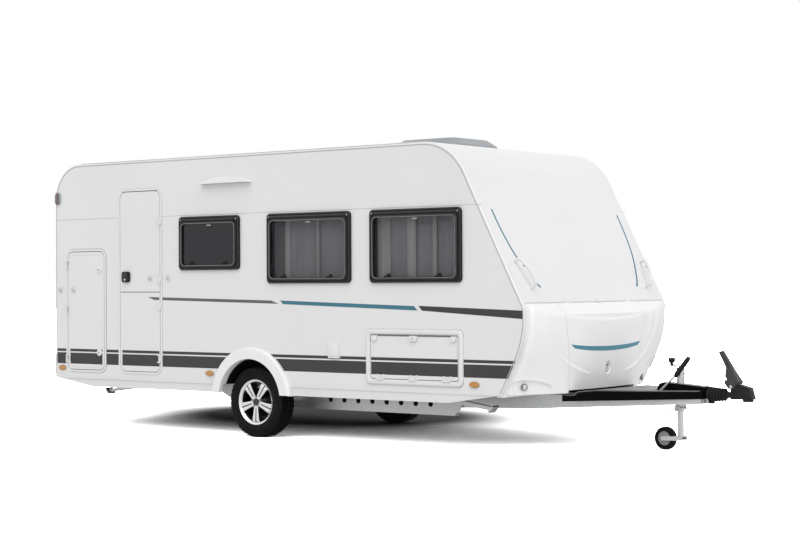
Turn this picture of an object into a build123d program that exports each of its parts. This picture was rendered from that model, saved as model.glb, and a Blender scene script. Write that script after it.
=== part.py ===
"""Travel caravan: one axle, sandwich-panel body, A-frame drawbar and jockey wheel.

Frame: +X forwards to the coupling, +Y to the left side, +Z up, floor at Z = 0.
Lengths are in millimetres. A station is the distance forwards from the outer face of the rear wall.
"""
import os
from math import cos, radians, sin, sqrt

from build123d import *

# ---- driving dimensions: body -------------------------------------------------
BODY_WIDTH = 2120
WALL = 32                     # side walls, rear wall, front and roof panels, and the door leaves
FLOOR = 42
WALL_FOOT = 440               # height of the side walls' lower edge
ROOF_TOP = 2395
ROOF_FRONT = 4549             # station where roof line and front slope would meet
NOSE = 5215                   # station of the side wall's foremost edge
NOSE_TOP = 1107
NOSE_KNEE = 865
FRONT_FOOT = 4996             # station of the side wall's lower front corner
REAR_ROOF_RADIUS = 320
FRONT_ROOF_RADIUS = 460
NOSE_RADIUS = 140
KNEE_RADIUS = 750
WALL_EDGE_RADIUS = 14
ROOF_FRONT_JOINT = 4160       # station where roof and front panel meet
ROOF_REAR_JOINT = 360
SEAM = 1138                   # height of the joint between front panel and lower front moulding

# ---- driving dimensions: lower front moulding ------------------------------------
MOULDING = 16                 # its thickness
MOULDING_FOOT = 426
MOULDING_BACK = 5000          # station where it starts, between the side walls
MOULDING_LAP = 60             # how far its flange reaches back from there
MOULDING_BULGE = 97           # how far its middle stands in front of the side walls' outline
MOULDING_BOW = 5600           # plan radius of the bulge
MOULDING_MARGIN = 56          # flat flange beside the bulge
MOULDING_CORNER = 55          # radius of the bulge's upright corners
LEDGE_ANGLE = 48              # slope of the ledge under the seam
CHIN_RADIUS = 3250            # profile radius of the lid's middle below the knee
CHIN_TOP = 1047               # height where that curve starts
LID_WIDTH = 1214              # at the seam
LID_FOOT_WIDTH = 972
LID_FOOT = 463
LID_SILL = 36                 # how far the sill under the lid stands back
LID_GAP = 6
BULKHEAD = 22
BULKHEAD_STATION = 4760

# ---- driving dimensions: running gear ---------------------------------------------
AXLE = 2455                   # station of the wheels
WHEEL_Y = 930                 # middle of each tyre
TYRE_RADIUS = 298
TYRE_WIDTH = 185
RIM_SEAT = 178
ARCH_Z = 315
ARCH_RADIUS = 350
ARCH_TRIM = 98                # width of the wheel arch trim
ARCH_PROUD = 38
WELL_WALL = 10
WELL_DEPTH = 300              # from the side wall's outer face inwards
RAIL_Y = 650                  # centre of the chassis rails' webs
RAIL_THICK = 6
RAIL_FLANGE = 55
RAIL_FOOT = 236
SKIRT_FOOT = 370
SKIRT_THICK = 20

# ---- driving dimensions: drawbar ---------------------------------------------------
COUPLING_NOSE = 6560
SHAFT_Z = 440
SHAFT_RADIUS = 25
SEAT_PLATE_TOP = 410          # top of the plate that the overrun housing stands on
GAITER_REAR = 6184             # station where the bellows start
GAITER_TOP = 500               # height of its highest rib
BALL_STATION = 6510
BALL_Z = 426
BALL_RADIUS = 25.2
HEAD_HALF = 36                 # half the coupling head's width
LEVER_STATION = 6395           # pivot of the stabiliser lever
LEVER_Z = 505
LEVER_HALF = 49
LEVER_TRAVEL = 50              # degrees from raised to pressed down
ARM_ROOT = 4240               # station where the drawbar arms meet the rails
ARM_TIP = 6150
ARM_TIP_Y = 46
ARM_WIDTH = 46
JOCKEY = 5940                 # station of the jockey wheel's tube
JOCKEY_OUTER = 30
JOCKEY_INNER = 24
JOCKEY_WHEEL_RADIUS = 89
JOCKEY_TRAIL = 132

# ---- driving dimensions: openings and leaves ------------------------------------------
HINGE_PROUD = 22              # hinge axes stand this far out of the wall
LEAF_GAP = 6
REAR_PROUD = 46               # how far the rear bumper stands out of the rear wall
BUMPER_FLAT = 1004            # half the width over which it does so
FIT = 0.05                    # radial clearance of pins
SEAT = 0.3                    # clearance of sliding faces

# name, rear station, front station, low edge, high edge
RIGHT_WINDOWS = [
    ("small", 1622, 2332, 1415, 1877),
    ("middle", 2650, 3550, 1297, 1877),
    ("front", 3750, 4650, 1297, 1877),
]
LEFT_WINDOWS = [
    ("washroom", 420, 960, 1415, 1877),
    ("middle", 1500, 2400, 1297, 1877),
    ("front", 3750, 4650, 1297, 1877),
]
REAR_WINDOW = (-560, 560, 1297, 1877)      # Y range and Z range
WINDOW_FRAME = 46             # width of the frame's face
WINDOW_PROUD = 20
PANE = 6
# rear, front, low, high, corner radius, width of the frame round it
ENTRANCE = (866, 1378, 518, 2122, 70, 20)
SERVICE = (172, 662, 518, 1597, 60, 20)
LOCKER = (3744, 4612, 536, 890, 24, 42)
CASSETTE = (470, 860, 560, 930, 24, 30)    # in the left wall
ENTRANCE_SPLIT = 1226
FRAME_PROUD = 5
HATCH = (3360, 4060, -330, 330)            # stations and Y range of the main roof hatch
HATCH_RISE = 100
VENT = (1180, 1580, 250, 650)              # the small roof vent
VENT_RISE = 56

HINGE_KNUCKLE = 7
HINGE_PIN = 4
HINGE_LENGTH = 50
HINGE_PLATE = 20
HINGE_LEAF = 6                # thickness of the hinge plates
HINGE_LUG = 10
HINGE_ARM = 40
CATCH_PROUD = 20
CATCH_RADIUS = 16
CATCH_ENTRANCE_Z = 1350
CATCH_SERVICE_Z = 1250
HANDLE_PROUD = 22
WINDOW_RADIUS = 36
CURTAIN_DEPTH = 34
CURTAIN_APART = 8             # gap between the two curtains of a window
CURTAIN_LAP = 30
HATCH_FRAME = 16
HATCH_PIN_OUT = 12
# station and height of each amber side lamp
SIDE_MARKERS = [(100, 533), (1975, 530), (4760, 518)]
BRAKE_STATION = 5790          # pivot of the handbrake lever
BRAKE_Y = -84
BRAKE_Z = 440
BRAKE_ELBOW = (166, 151)      # from the pivot forwards and up to the bend, where the grip starts
BRAKE_TIP = (270, 278)
COVER = 4                     # thickness of the drawbar cover
COVER_TIP_Y = 84              # half its width at the front end
JOCKEY_TUBE_FOOT = 300
JOCKEY_LEG_FOOT = 112
JOCKEY_TRAVEL = 150
STEADY_Y = 850
STEADY_Z = 378
STEADY_REACH = 430
ARM_LEAD = 165                # the axle's cross tube lies this far ahead of the wheels
ARM_INNER = 770
ARM_OUTER = 822
AXLE_TUBE = 45
AXLE_TUBE_Z = 330
STUB = 20
SPOKES = 5
RAIL_HOLES = 8
RAIL_HOLE_START = AXLE + 525
RAIL_HOLE_END = ARM_ROOT - 210
RAIL_HOLE_PITCH = (RAIL_HOLE_END - RAIL_HOLE_START) / (RAIL_HOLES - 1)
VENT_REAR = AXLE + ARCH_RADIUS + ARCH_TRIM - 3     # station of the fridge vents' rear edge
VENT_WIDTH = 480

HALF = BODY_WIDTH / 2
INNER = HALF - WALL
REAR_X = -(COUPLING_NOSE - REAR_PROUD) / 2   # X of the rear wall's outer face


def at(station):
    """X of a station."""
    return REAR_X + station


# ---- small makers --------------------------------------------------------------------
def block(x0, x1, y0, y1, z0, z1):
    """A box between two corners."""
    return Pos((x0 + x1) / 2, (y0 + y1) / 2, (z0 + z1) / 2) * Box(abs(x1 - x0), abs(y1 - y0), abs(z1 - z0))


def rod(start, end, radius):
    """A cylinder from one point to another."""
    a, b = Vector(*start), Vector(*end)
    return extrude(Plane(origin=a, z_dir=b - a) * Circle(radius), amount=(b - a).length)


def tube(start, end, radius, bore):
    """A cylinder with a hole along it."""
    return rod(start, end, radius) - rod(start, end, bore)


def side_slab(sketch, y0, y1):
    """A sketch drawn in X and Z, as thick as from y0 to y1."""
    low, high = sorted((y0, y1))
    plane = Plane(origin=(0, high, 0), x_dir=(1, 0, 0), z_dir=(0, -1, 0))
    return extrude(plane * sketch, amount=high - low)


def face_of(points, radii=None):
    """A closed face through points given as station and height, with rounded corners."""
    corners = [(at(s), z) for s, z in points]
    if radii is None:
        return make_face(Polyline(*corners, close=True))
    return make_face(FilletPolyline(*corners, radius=radii, close=True))


def rounded(s0, s1, z0, z1, radius):
    """A rounded rectangle given by its stations and heights."""
    return Pos(at((s0 + s1) / 2), (z0 + z1) / 2) * RectangleRounded(s1 - s0, z1 - z0, radius)


def disc(station, z, radius):
    """A circle drawn in X and Z."""
    return Pos(at(station), z) * Circle(radius)


def mirrored(shape):
    """The same shape on the other side of the caravan."""
    return mirror(shape, about=Plane.XZ)


def both(shape):
    """A shape and its mirror image, as one compound of separate solids."""
    return Compound(children=[*shape.solids(), *mirrored(shape).solids()])


def several(shapes):
    """Separate solids kept in one compound."""
    return Compound(children=[solid for shape in shapes for solid in shape.solids()])


# ---- body panels ----------------------------------------------------------------------
def body_outline():
    """The body seen from the side."""
    points = [(0, WALL_FOOT), (0, ROOF_TOP), (ROOF_FRONT, ROOF_TOP), (NOSE, NOSE_TOP), (NOSE, NOSE_KNEE), (FRONT_FOOT, WALL_FOOT)]
    return face_of(points, [0, REAR_ROOF_RADIUS, FRONT_ROOF_RADIUS, NOSE_RADIUS, KNEE_RADIUS, 0])


def arch_cut():
    """What a wheel arch takes out of a side wall."""
    return side_slab(disc(AXLE, ARCH_Z, ARCH_RADIUS), -HALF - 1, HALF + 1)


def side_wall(side, openings):
    """A side wall; side is -1 for the right and 1 for the left. Each opening is a sketch."""
    wall = side_slab(body_outline(), side * HALF, side * INNER)
    outer = wall.faces().sort_by(Axis.Y)[0 if side < 0 else -1]
    edges = [e for e in outer.edges() if e.bounding_box().max.Z > WALL_FOOT + 1]
    wall = fillet(edges, WALL_EDGE_RADIUS)
    for opening in openings:
        wall -= side_slab(opening, side * (HALF + 5), side * (INNER - 5))
    return wall - arch_cut()


def shell_band():
    """The ring between the body's outline and the same outline one wall further in."""
    outline = body_outline()
    return outline - offset(outline, amount=-WALL)


def band_panel(region):
    """The part of the shell band inside a region, between the side walls."""
    return side_slab(shell_band() & region, -INNER, INNER)


def region(s0, s1, z0, z1):
    """A plain rectangle of stations and heights."""
    return face_of([(s0, z0), (s1, z0), (s1, z1), (s0, z1)])


def window_hole(rear, front, low, high):
    """The hole a window needs in its wall."""
    inset = WINDOW_FRAME - 10
    return rounded(rear + inset, front - inset, low + inset, high - inset, WINDOW_RADIUS - 8)


def rear_wall():
    panel = band_panel(region(-1, ROOF_REAR_JOINT, WALL_FOOT + FLOOR, ROOF_TOP + 1))
    y0, y1, z0, z1 = REAR_WINDOW
    inset = WINDOW_FRAME - 10
    hole = Plane(origin=(at(-5), 0, 0), x_dir=(0, 1, 0), z_dir=(1, 0, 0)) * (
        Pos((y0 + y1) / 2, (z0 + z1) / 2) * RectangleRounded(y1 - y0 - 2 * inset, z1 - z0 - 2 * inset, WINDOW_RADIUS - 8))
    return panel - extrude(hole, amount=WALL + 10)


def roof_hole(area, inset):
    s0, s1, y0, y1 = area
    return block(at(s0 + inset), at(s1 - inset), y0 + inset, y1 - inset, ROOF_TOP - WALL - 5, ROOF_TOP + 5)


def roof():
    panel = band_panel(region(ROOF_REAR_JOINT, ROOF_FRONT_JOINT, ROOF_TOP - 200, ROOF_TOP + 1))
    return panel - roof_hole(HATCH, 70) - roof_hole(VENT, 60)


def front_panel():
    return band_panel(region(ROOF_FRONT_JOINT, NOSE + 50, SEAM, ROOF_TOP + 1))


def floor_panel():
    """The floor, with notches over the wheels; it stops at the lower front moulding."""
    slab = side_slab(region(0, MOULDING_BACK - MOULDING_LAP - SEAT, WALL_FOOT, WALL_FOOT + FLOOR), -INNER, INNER)
    half = ARCH_RADIUS + WELL_WALL
    notch = block(at(AXLE - half), at(AXLE + half), HALF - WELL_DEPTH - WELL_WALL, HALF, WALL_FOOT - 1, WALL_FOOT + FLOOR + 1)
    return slab - notch - mirrored(notch)


def wheel_wells():
    """Half-round boxes over the wheels, open downwards and outwards."""
    outer = side_slab(disc(AXLE, ARCH_Z, ARCH_RADIUS + WELL_WALL), INNER, HALF - WELL_DEPTH - WELL_WALL)
    inner = side_slab(disc(AXLE, ARCH_Z, ARCH_RADIUS), INNER, HALF - WELL_DEPTH)
    box = outer - inner - block(at(AXLE - 500), at(AXLE + 500), 0, HALF, -100, WALL_FOOT)
    return both(box)


def locker_bulkhead():
    """The cabin's front wall and the shelf over the gas locker, in one piece."""
    low, high = WALL_FOOT + FLOOR, SEAM - 1
    wall = block(at(BULKHEAD_STATION), at(BULKHEAD_STATION + BULKHEAD), -INNER, INNER, low, high)
    shelf = side_slab(offset(body_outline(), amount=-WALL) & region(BULKHEAD_STATION, NOSE, high - BULKHEAD, high), -INNER, INNER)
    return wall + shelf


# ---- lower front moulding ----------------------------------------------------------------
def bulge(inset):
    """The bulging middle of the moulding: the body's front profile swung about an upright axis."""
    profile = Pos(MOULDING_BULGE, 0) * offset(body_outline(), amount=-inset)
    profile &= region(BULKHEAD_STATION, NOSE + 200, MOULDING_FOOT, ROOF_TOP)
    axis_x = at(NOSE + MOULDING_BULGE - MOULDING_BOW)
    arc = 30
    plane = Plane(origin=(0, 0, 0), x_dir=(1, 0, 0), z_dir=(0, -1, 0))
    swept = revolve(plane * profile, axis=Axis((axis_x, 0, 0), (0, 0, 1)), revolution_arc=arc)
    swept = Pos(axis_x, 0, 0) * Rot(0, 0, -arc / 2) * Pos(-axis_x, 0, 0) * swept
    half = INNER - MOULDING_MARGIN - inset
    swept &= block(at(BULKHEAD_STATION), at(NOSE + 300), -half, half, 0, SEAM + 300)
    corners = [e for e in swept.edges()
               if abs(abs(e.center().Y) - half) < 1 and e.bounding_box().size.Z > 20 and e.center().X > at(BULKHEAD_STATION) + 50]
    return fillet(corners, MOULDING_CORNER - inset) & below_ledge(inset)


def side_seam(height):
    """Y of the lid's left edge at a height."""
    return (LID_FOOT_WIDTH + (LID_WIDTH - LID_FOOT_WIDTH) * (height - LID_FOOT) / (SEAM - LID_FOOT)) / 2


def chin_station(y, height):
    """Station of the chin's face."""
    return NOSE + MOULDING_BULGE - (CHIN_TOP - height) ** 2 / (2 * CHIN_RADIUS) - y ** 2 / (2 * MOULDING_BOW)


def chin(inset):
    """The lid's upright lower part, which stands out of the bulge, with flats beside it that run back to the side walls."""
    nose = NOSE + MOULDING_BULGE - 0.5
    foot = WALL_FOOT + inset
    drop = CHIN_TOP - foot
    ends = [(at(nose - inset), CHIN_TOP), (at(nose - inset - drop ** 2 / (8 * CHIN_RADIUS)), CHIN_TOP - drop / 2),
            (at(nose - inset - drop ** 2 / (2 * CHIN_RADIUS)), foot)]
    back = at(BULKHEAD_STATION)
    profile = make_face([ThreePointArc(*ends), Line(ends[2], (back, foot)), Line((back, foot), (back, CHIN_TOP)), Line((back, CHIN_TOP), ends[0])])
    axis_x = at(NOSE + MOULDING_BULGE - MOULDING_BOW)
    arc = 30
    plane = Plane(origin=(0, 0, 0), x_dir=(1, 0, 0), z_dir=(0, -1, 0))
    swept = revolve(plane * profile, axis=Axis((axis_x, 0, 0), (0, 0, 1)), revolution_arc=arc)
    swept = Pos(axis_x, 0, 0) * Rot(0, 0, -arc / 2) * Pos(-axis_x, 0, 0) * swept
    half = INNER - MOULDING_MARGIN - inset - 10
    swept &= block(at(BULKHEAD_STATION), at(NOSE + 300), -half, half, 0, SEAM)
    corners = [Vector(chin_station(side_seam(z), z), side_seam(z), z) for z in (WALL_FOOT, NOSE_KNEE)]
    corners.append(Vector(FRONT_FOOT + 4, INNER - 28, WALL_FOOT))
    normal = (corners[2] - corners[0]).cross(corners[1] - corners[0]).normalized()
    if normal.X < 0:
        normal = -normal
    reach = 1500
    origin = Vector(at(corners[0].X), corners[0].Y, corners[0].Z) - normal * inset
    cutter = extrude(Plane(origin=origin, z_dir=normal) * Rectangle(2 * reach, 2 * reach), amount=400)
    return swept - cutter - mirrored(cutter)


def below_ledge(inset):
    """What lies under the sloping ledge, which starts at the seam on the front panel's face."""
    slope = (NOSE - ROOF_FRONT) / (ROOF_TOP - NOSE_TOP)
    start = NOSE - slope * (SEAM - NOSE_TOP)
    drop = 300
    run = drop / sin(radians(LEDGE_ANGLE)) * cos(radians(LEDGE_ANGLE))
    back = inset / sin(radians(LEDGE_ANGLE))
    points = [(BULKHEAD_STATION - 1, 300), (BULKHEAD_STATION - 1, SEAM), (start - back, SEAM), (start - back + run, SEAM - drop),
              (start - back + run, 300)]
    return side_slab(face_of(points), -HALF, HALF)


def moulding_skin(inset):
    """The bulge and the flange beside it, as one closed bulk."""
    flange = side_slab(offset(body_outline(), amount=-inset) & region(BULKHEAD_STATION, NOSE, MOULDING_FOOT + inset, SEAM),
                       INNER - SEAT, SEAT - INNER)
    foot = block(at(BULKHEAD_STATION), at(FRONT_FOOT - inset), SEAT - INNER, INNER - SEAT, MOULDING_FOOT + inset, WALL_FOOT + inset + 1)
    return flange + foot + bulge(inset) + chin(inset)


def lid_area(grow, low, high):
    """What lies between the lid's side edges, and between two heights."""
    sides = [(side_seam(z) + grow, z) for z in (low, high)]
    points = sides + [(-y, z) for y, z in reversed(sides)]
    return extrude(Plane(origin=(at(MOULDING_BACK), 0, 0), x_dir=(0, 1, 0), z_dir=(1, 0, 0)) * make_face(Polyline(*points, close=True)), amount=600)


def build_moulding():
    """The fixed moulding and the gas locker's lid."""
    skin = moulding_skin(0) - moulding_skin(MOULDING)
    skin &= block(at(MOULDING_BACK - MOULDING_LAP), at(NOSE + 300), -HALF, HALF, 0, SEAM)
    gap = LID_GAP + 0.2
    fixed = skin - lid_area(gap, LID_FOOT - LID_GAP, SEAM + 1)
    fixed -= lid_area(gap, WALL_FOOT - 40, LID_FOOT) - moulding_skin(LID_SILL)
    return fixed, skin & lid_area(0, LID_FOOT, SEAM - LID_GAP)


# ---- openings, leaves and hinges -----------------------------------------------------------
def opening(place, grow=0):
    """A leaf's opening as a sketch, grown by some amount."""
    rear, front, low, high, radius, _ = place
    return rounded(rear - grow, front + grow, low - grow, high + grow, radius + grow)


def opening_frame(place, side):
    """The flat frame round an opening, on the wall's outer face."""
    ring = opening(place, place[5]) - opening(place)
    return side_slab(ring, side * HALF, side * (HALF + FRAME_PROUD))


def leaf(place, side, sketch=None):
    """A door or flap as thick as the wall, flush with its frame."""
    shape = opening(place, -LEAF_GAP) if sketch is None else sketch
    return side_slab(shape, side * (HALF + FRAME_PROUD), side * INNER)


def hinge():
    """A hinge in its own frame: pin along Z, fixed part at +X, moving part at -X, wall towards +Y."""
    seat = HINGE_PROUD - FRAME_PROUD
    fixed = Cylinder(HINGE_KNUCKLE, HINGE_LENGTH) + block(0, HINGE_PLATE, seat - HINGE_LEAF, seat, -HINGE_LENGTH / 2, HINGE_LENGTH / 2)
    fixed += block(0, HINGE_KNUCKLE, 0, seat, -HINGE_LENGTH / 2, HINGE_LENGTH / 2)
    lug = HINGE_LENGTH / 2 + 1 + HINGE_LUG / 2
    fixed += Cylinder(HINGE_PIN, 2 * lug + HINGE_LUG)
    moving = []
    for z in (-lug, lug):
        plate = Cylinder(HINGE_KNUCKLE, HINGE_LUG) + block(-HINGE_KNUCKLE, 0, 0, seat, -HINGE_LUG / 2, HINGE_LUG / 2)
        plate += block(-HINGE_ARM, 0, seat - HINGE_LEAF, seat, -HINGE_LUG / 2, HINGE_LUG / 2)
        moving.append(Pos(0, 0, z) * (plate - Cylinder(HINGE_PIN + FIT, HINGE_LUG + 2)))
    return fixed, moving


def placed_hinges(places):
    """Hinges set at each place: the fixed parts, and the moving parts."""
    fixed, moving = hinge()
    return [place * fixed for place in places], [place * part for place in places for part in moving]


def upright_hinge(station, height, front_fixed):
    """Where an upright hinge on the right wall sits."""
    place = Pos(at(station), -HALF - HINGE_PROUD, height)
    return place if front_fixed else place * Rot(0, 180, 0)


def lying_hinge(station, height, side):
    """Where a hinge at a flap's lower edge sits."""
    if side < 0:
        return Pos(at(station), -HALF - HINGE_PROUD, height) * Rot(0, 90, 0)
    return Pos(at(station), HALF + HINGE_PROUD, height) * Rot(0, 0, 180) * Rot(0, 90, 0)


ENTRANCE_HINGES = [1845, 1345, 1105, 640]      # heights: two for each half of the door
SERVICE_HINGES = [1480, 1060, 620]
LOCKER_HINGES = [3850, 4178, 4506]             # stations
CASSETTE_HINGES = [540, 790]


def catch(station, height, surface):
    """A round door catch on the right wall or on a leaf."""
    return rod((at(station), surface, height), (at(station), surface - CATCH_PROUD, height), CATCH_RADIUS)


def entrance_leaf(low, high):
    """One half of the entrance door with its hinge lugs."""
    sketch = opening(ENTRANCE, -LEAF_GAP) & region(ENTRANCE[0] - 10, ENTRANCE[1] + 10, low, high)
    shape = leaf(ENTRANCE, -1, sketch)
    heights = [z for z in ENTRANCE_HINGES if low < z < high]
    _, lugs = placed_hinges([upright_hinge(ENTRANCE[1], z, True) for z in heights])
    for lug in lugs:
        shape += lug
    return shape


def service_door():
    shape = leaf(SERVICE, -1)
    _, lugs = placed_hinges([upright_hinge(SERVICE[0], z, False) for z in SERVICE_HINGES])
    for lug in lugs:
        shape += lug
    return shape + catch(SERVICE[0] + 90, CATCH_SERVICE_Z, -HALF - FRAME_PROUD)


def flap(place, side, stations):
    """A flap hinged along its lower edge."""
    shape = leaf(place, side)
    _, lugs = placed_hinges([lying_hinge(s, place[2], side) for s in stations])
    for lug in lugs:
        shape += lug
    return shape


def fixed_hinges():
    """The parts of all the hinges that stay with the body."""
    places = [upright_hinge(ENTRANCE[1], z, True) for z in ENTRANCE_HINGES]
    places += [upright_hinge(SERVICE[0], z, False) for z in SERVICE_HINGES]
    places += [lying_hinge(s, LOCKER[2], -1) for s in LOCKER_HINGES]
    places += [lying_hinge(s, CASSETTE[2], 1) for s in CASSETTE_HINGES]
    fixed, _ = placed_hinges(places)
    return fixed + [lid_hinge_fixed(y) for y in LID_HINGES]


# ---- gas locker lid -----------------------------------------------------------------------------
FRONT_SLOPE = (NOSE - ROOF_FRONT) / (ROOF_TOP - NOSE_TOP)
SEAM_STATION = NOSE - FRONT_SLOPE * (SEAM - NOSE_TOP)
LID_PIN = 3
LID_KNUCKLE = 6
LID_HINGE_LENGTH = 30
LID_AXIS_STATION = SEAM_STATION + 8
LID_AXIS_Z = SEAM + 2
LID_HINGES = (-450, 0, 450)


def y_rod(y0, y1, radius):
    """A cylinder along Y on the lid's axis."""
    return rod((at(LID_AXIS_STATION), y0, LID_AXIS_Z), (at(LID_AXIS_STATION), y1, LID_AXIS_Z), radius)


def lid_hinge_fixed(y):
    """Knuckle, pin and foot of a lid hinge, which stand on the front panel."""
    half = LID_HINGE_LENGTH / 2
    shape = y_rod(y - half, y + half, LID_KNUCKLE)
    foot = face_of([(LID_AXIS_STATION - 3, LID_AXIS_Z), (LID_AXIS_STATION + LID_KNUCKLE - 1, LID_AXIS_Z + 2),
                    (SEAM_STATION - FRONT_SLOPE * 26 + 1, SEAM + 26), (SEAM_STATION - FRONT_SLOPE * 26, SEAM + 26),
                    (SEAM_STATION - FRONT_SLOPE * 3, SEAM + 3)])
    shape += side_slab(foot, y - half, y + half)
    return shape + y_rod(y - half - 12, y + half + 12, LID_PIN)


def lid_lugs():
    """The lid's own knuckles, one each side of each fixed one."""
    lugs = []
    for y in LID_HINGES:
        for way in (-1, 1):
            inner = y + way * (LID_HINGE_LENGTH / 2 + 1)
            outer = y + way * (LID_HINGE_LENGTH / 2 + 11)
            arm = face_of([(LID_AXIS_STATION - 4, LID_AXIS_Z), (LID_AXIS_STATION + 5, LID_AXIS_Z), (LID_AXIS_STATION + 24, SEAM - 22),
                           (LID_AXIS_STATION + 10, SEAM - 24), (LID_AXIS_STATION - 6, SEAM - LID_GAP - 4)])
            lug = y_rod(inner, outer, LID_KNUCKLE) + side_slab(arm, inner, outer)
            lugs.append(lug - y_rod(inner - way, outer + way, LID_PIN + FIT))
    return lugs


def gas_locker_lid(plain):
    for lug in lid_lugs():
        plain += lug
    return plain


# ---- windows, curtains and small fittings --------------------------------------------------------
def side_window(place, side):
    """Frame and pane of a side window."""
    _, rear, front, low, high = place
    outer = rounded(rear, front, low, high, WINDOW_RADIUS)
    inner = rounded(rear + WINDOW_FRAME, front - WINDOW_FRAME, low + WINDOW_FRAME, high - WINDOW_FRAME, WINDOW_RADIUS - 20)
    frame = side_slab(outer - inner, side * HALF, side * (HALF + WINDOW_PROUD))
    hole = window_hole(rear, front, low, high)
    lining = offset(hole, amount=-SEAT) - inner
    frame += side_slab(lining, side * INNER, side * (HALF + 1))
    pane = side_slab(offset(inner, amount=-SEAT), side * (HALF + 4), side * (HALF + 4 + PANE))
    return frame, pane


def turned_to_rear(shape):
    """Moves what is built on the right wall's plane to the rear wall: X along the wall becomes Y."""
    return Pos(at(0), 0, 0) * Rot(0, 0, -90) * Pos(0, HALF, 0) * shape


def rear_window():
    y0, y1, z0, z1 = REAR_WINDOW
    place = ("rear", y0 - REAR_X, y1 - REAR_X, z0, z1)
    return [turned_to_rear(piece) for piece in side_window(place, -1)]


def curtain(rear, front, low, high, side):
    """A pair of net curtains behind a window, each over half of it."""
    face = side * (INNER - SEAT)
    back = side * (INNER - SEAT - CURTAIN_DEPTH)
    low, high = low - CURTAIN_LAP, high + CURTAIN_LAP
    middle = (rear + front) / 2
    left = side_slab(region(rear - CURTAIN_LAP, middle - CURTAIN_APART / 2, low, high), face, back)
    right = side_slab(region(middle + CURTAIN_APART / 2, front + CURTAIN_LAP, low, high), face, back)
    return [left, right]


def all_curtains():
    pieces = []
    for _, rear, front, low, high in RIGHT_WINDOWS[1:]:
        pieces += curtain(rear, front, low, high, -1)
    for _, rear, front, low, high in LEFT_WINDOWS[1:]:
        pieces += curtain(rear, front, low, high, 1)
    y0, y1, z0, z1 = REAR_WINDOW
    pieces += [turned_to_rear(piece) for piece in curtain(y0 - REAR_X, y1 - REAR_X, z0, z1, -1)]
    return several(pieces)


def oval(station, height, width, tall, depth, side):
    """A flat oval lamp on a side wall."""
    sketch = Pos(at(station), height) * Ellipse(width / 2, tall / 2)
    return side_slab(sketch, side * HALF, side * (HALF + depth))


def box_on_wall(rear, front, low, high, depth, side, radius=10):
    """A rounded box on a side wall."""
    return side_slab(rounded(rear, front, low, high, radius), side * HALF, side * (HALF + depth))


def front_surface(height):
    """Station of the front panel's face at a height above the seam."""
    return NOSE - FRONT_SLOPE * (height - NOSE_TOP)


def grab_handle(top, bottom, stand_off, radius, bow=0):
    """A handle between two points of a flat surface; stand_off is the way out of that surface, bow its share more in the middle."""
    start, end = Vector(*top), Vector(*bottom)
    out = Vector(*stand_off)
    middle = [(start + end) * 0.5 + out * (1 + bow)] if bow else []
    path = FilletPolyline(start, start + out, *middle, end + out, end, radius=30)
    bar = sweep(Plane(origin=start, z_dir=path % 0) * Circle(radius), path=path)
    return bar


def grab_handles():
    lean = sqrt(1 + FRONT_SLOPE ** 2)
    pieces = []
    for side in (-1, 1):
        high, low = 1452, 1250
        top = (at(front_surface(high)), side * 930, high)
        bottom = (at(front_surface(low)), side * 860, low)
        pieces.append(grab_handle(top, bottom, (62 / lean, 0, 62 * FRONT_SLOPE / lean), 12, 0.3))
        pieces.append(grab_handle((at(0), side * 940, 900), (at(0), side * 940, 720), (-46, 0, 0), 12))
    return pieces


def arch_trim():
    """The rims round the wheel arches."""
    ring = disc(AXLE, ARCH_Z, ARCH_RADIUS + ARCH_TRIM) - disc(AXLE, ARCH_Z, ARCH_RADIUS)
    ring &= region(AXLE - 600, AXLE + 600, SKIRT_FOOT, ARCH_Z + 600)
    trim = side_slab(ring, -HALF, -HALF - ARCH_PROUD)
    outer = [e for e in trim.faces().sort_by(Axis.Y)[0].edges().filter_by(GeomType.CIRCLE) if e.radius > ARCH_RADIUS + 10]
    return both(fillet(outer, ARCH_PROUD * 0.6))


def skirt():
    """The side skirts below the walls, in front of and behind the wheels."""
    clear = ARCH_RADIUS + ARCH_TRIM + 1
    rear = [(20, WALL_FOOT), (480, SKIRT_FOOT), (AXLE - clear, SKIRT_FOOT), (AXLE - clear, WALL_FOOT)]
    front = [(AXLE + clear, WALL_FOOT), (AXLE + clear, SKIRT_FOOT), (4500, SKIRT_FOOT), (FRONT_FOOT - 30, WALL_FOOT)]
    pieces = [side_slab(face_of(points), -HALF + 4, -HALF + 4 + SKIRT_THICK) for points in (rear, front)]
    rail_rear = side_slab(region(0, AXLE - clear, WALL_FOOT, WALL_FOOT + 35), -HALF, -HALF - 4)
    rail_front = side_slab(region(AXLE + clear, FRONT_FOOT, WALL_FOOT, WALL_FOOT + 35), -HALF, -HALF - 4)
    return both(several(pieces + [rail_rear, rail_front]))


def awning_lamp():
    """The bowed lamp over the side wall's middle: flat underside, arched top."""
    rear, front, low, crown = 1886, 2469, 2152, 2206
    low_rear, low_front, mid = (at(rear), low), (at(front), low), (at((rear + front) / 2), crown)
    sketch = make_face([ThreePointArc(low_rear, mid, low_front), Line(low_front, low_rear)])
    return side_slab(sketch, -HALF, -HALF - 52)


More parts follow.
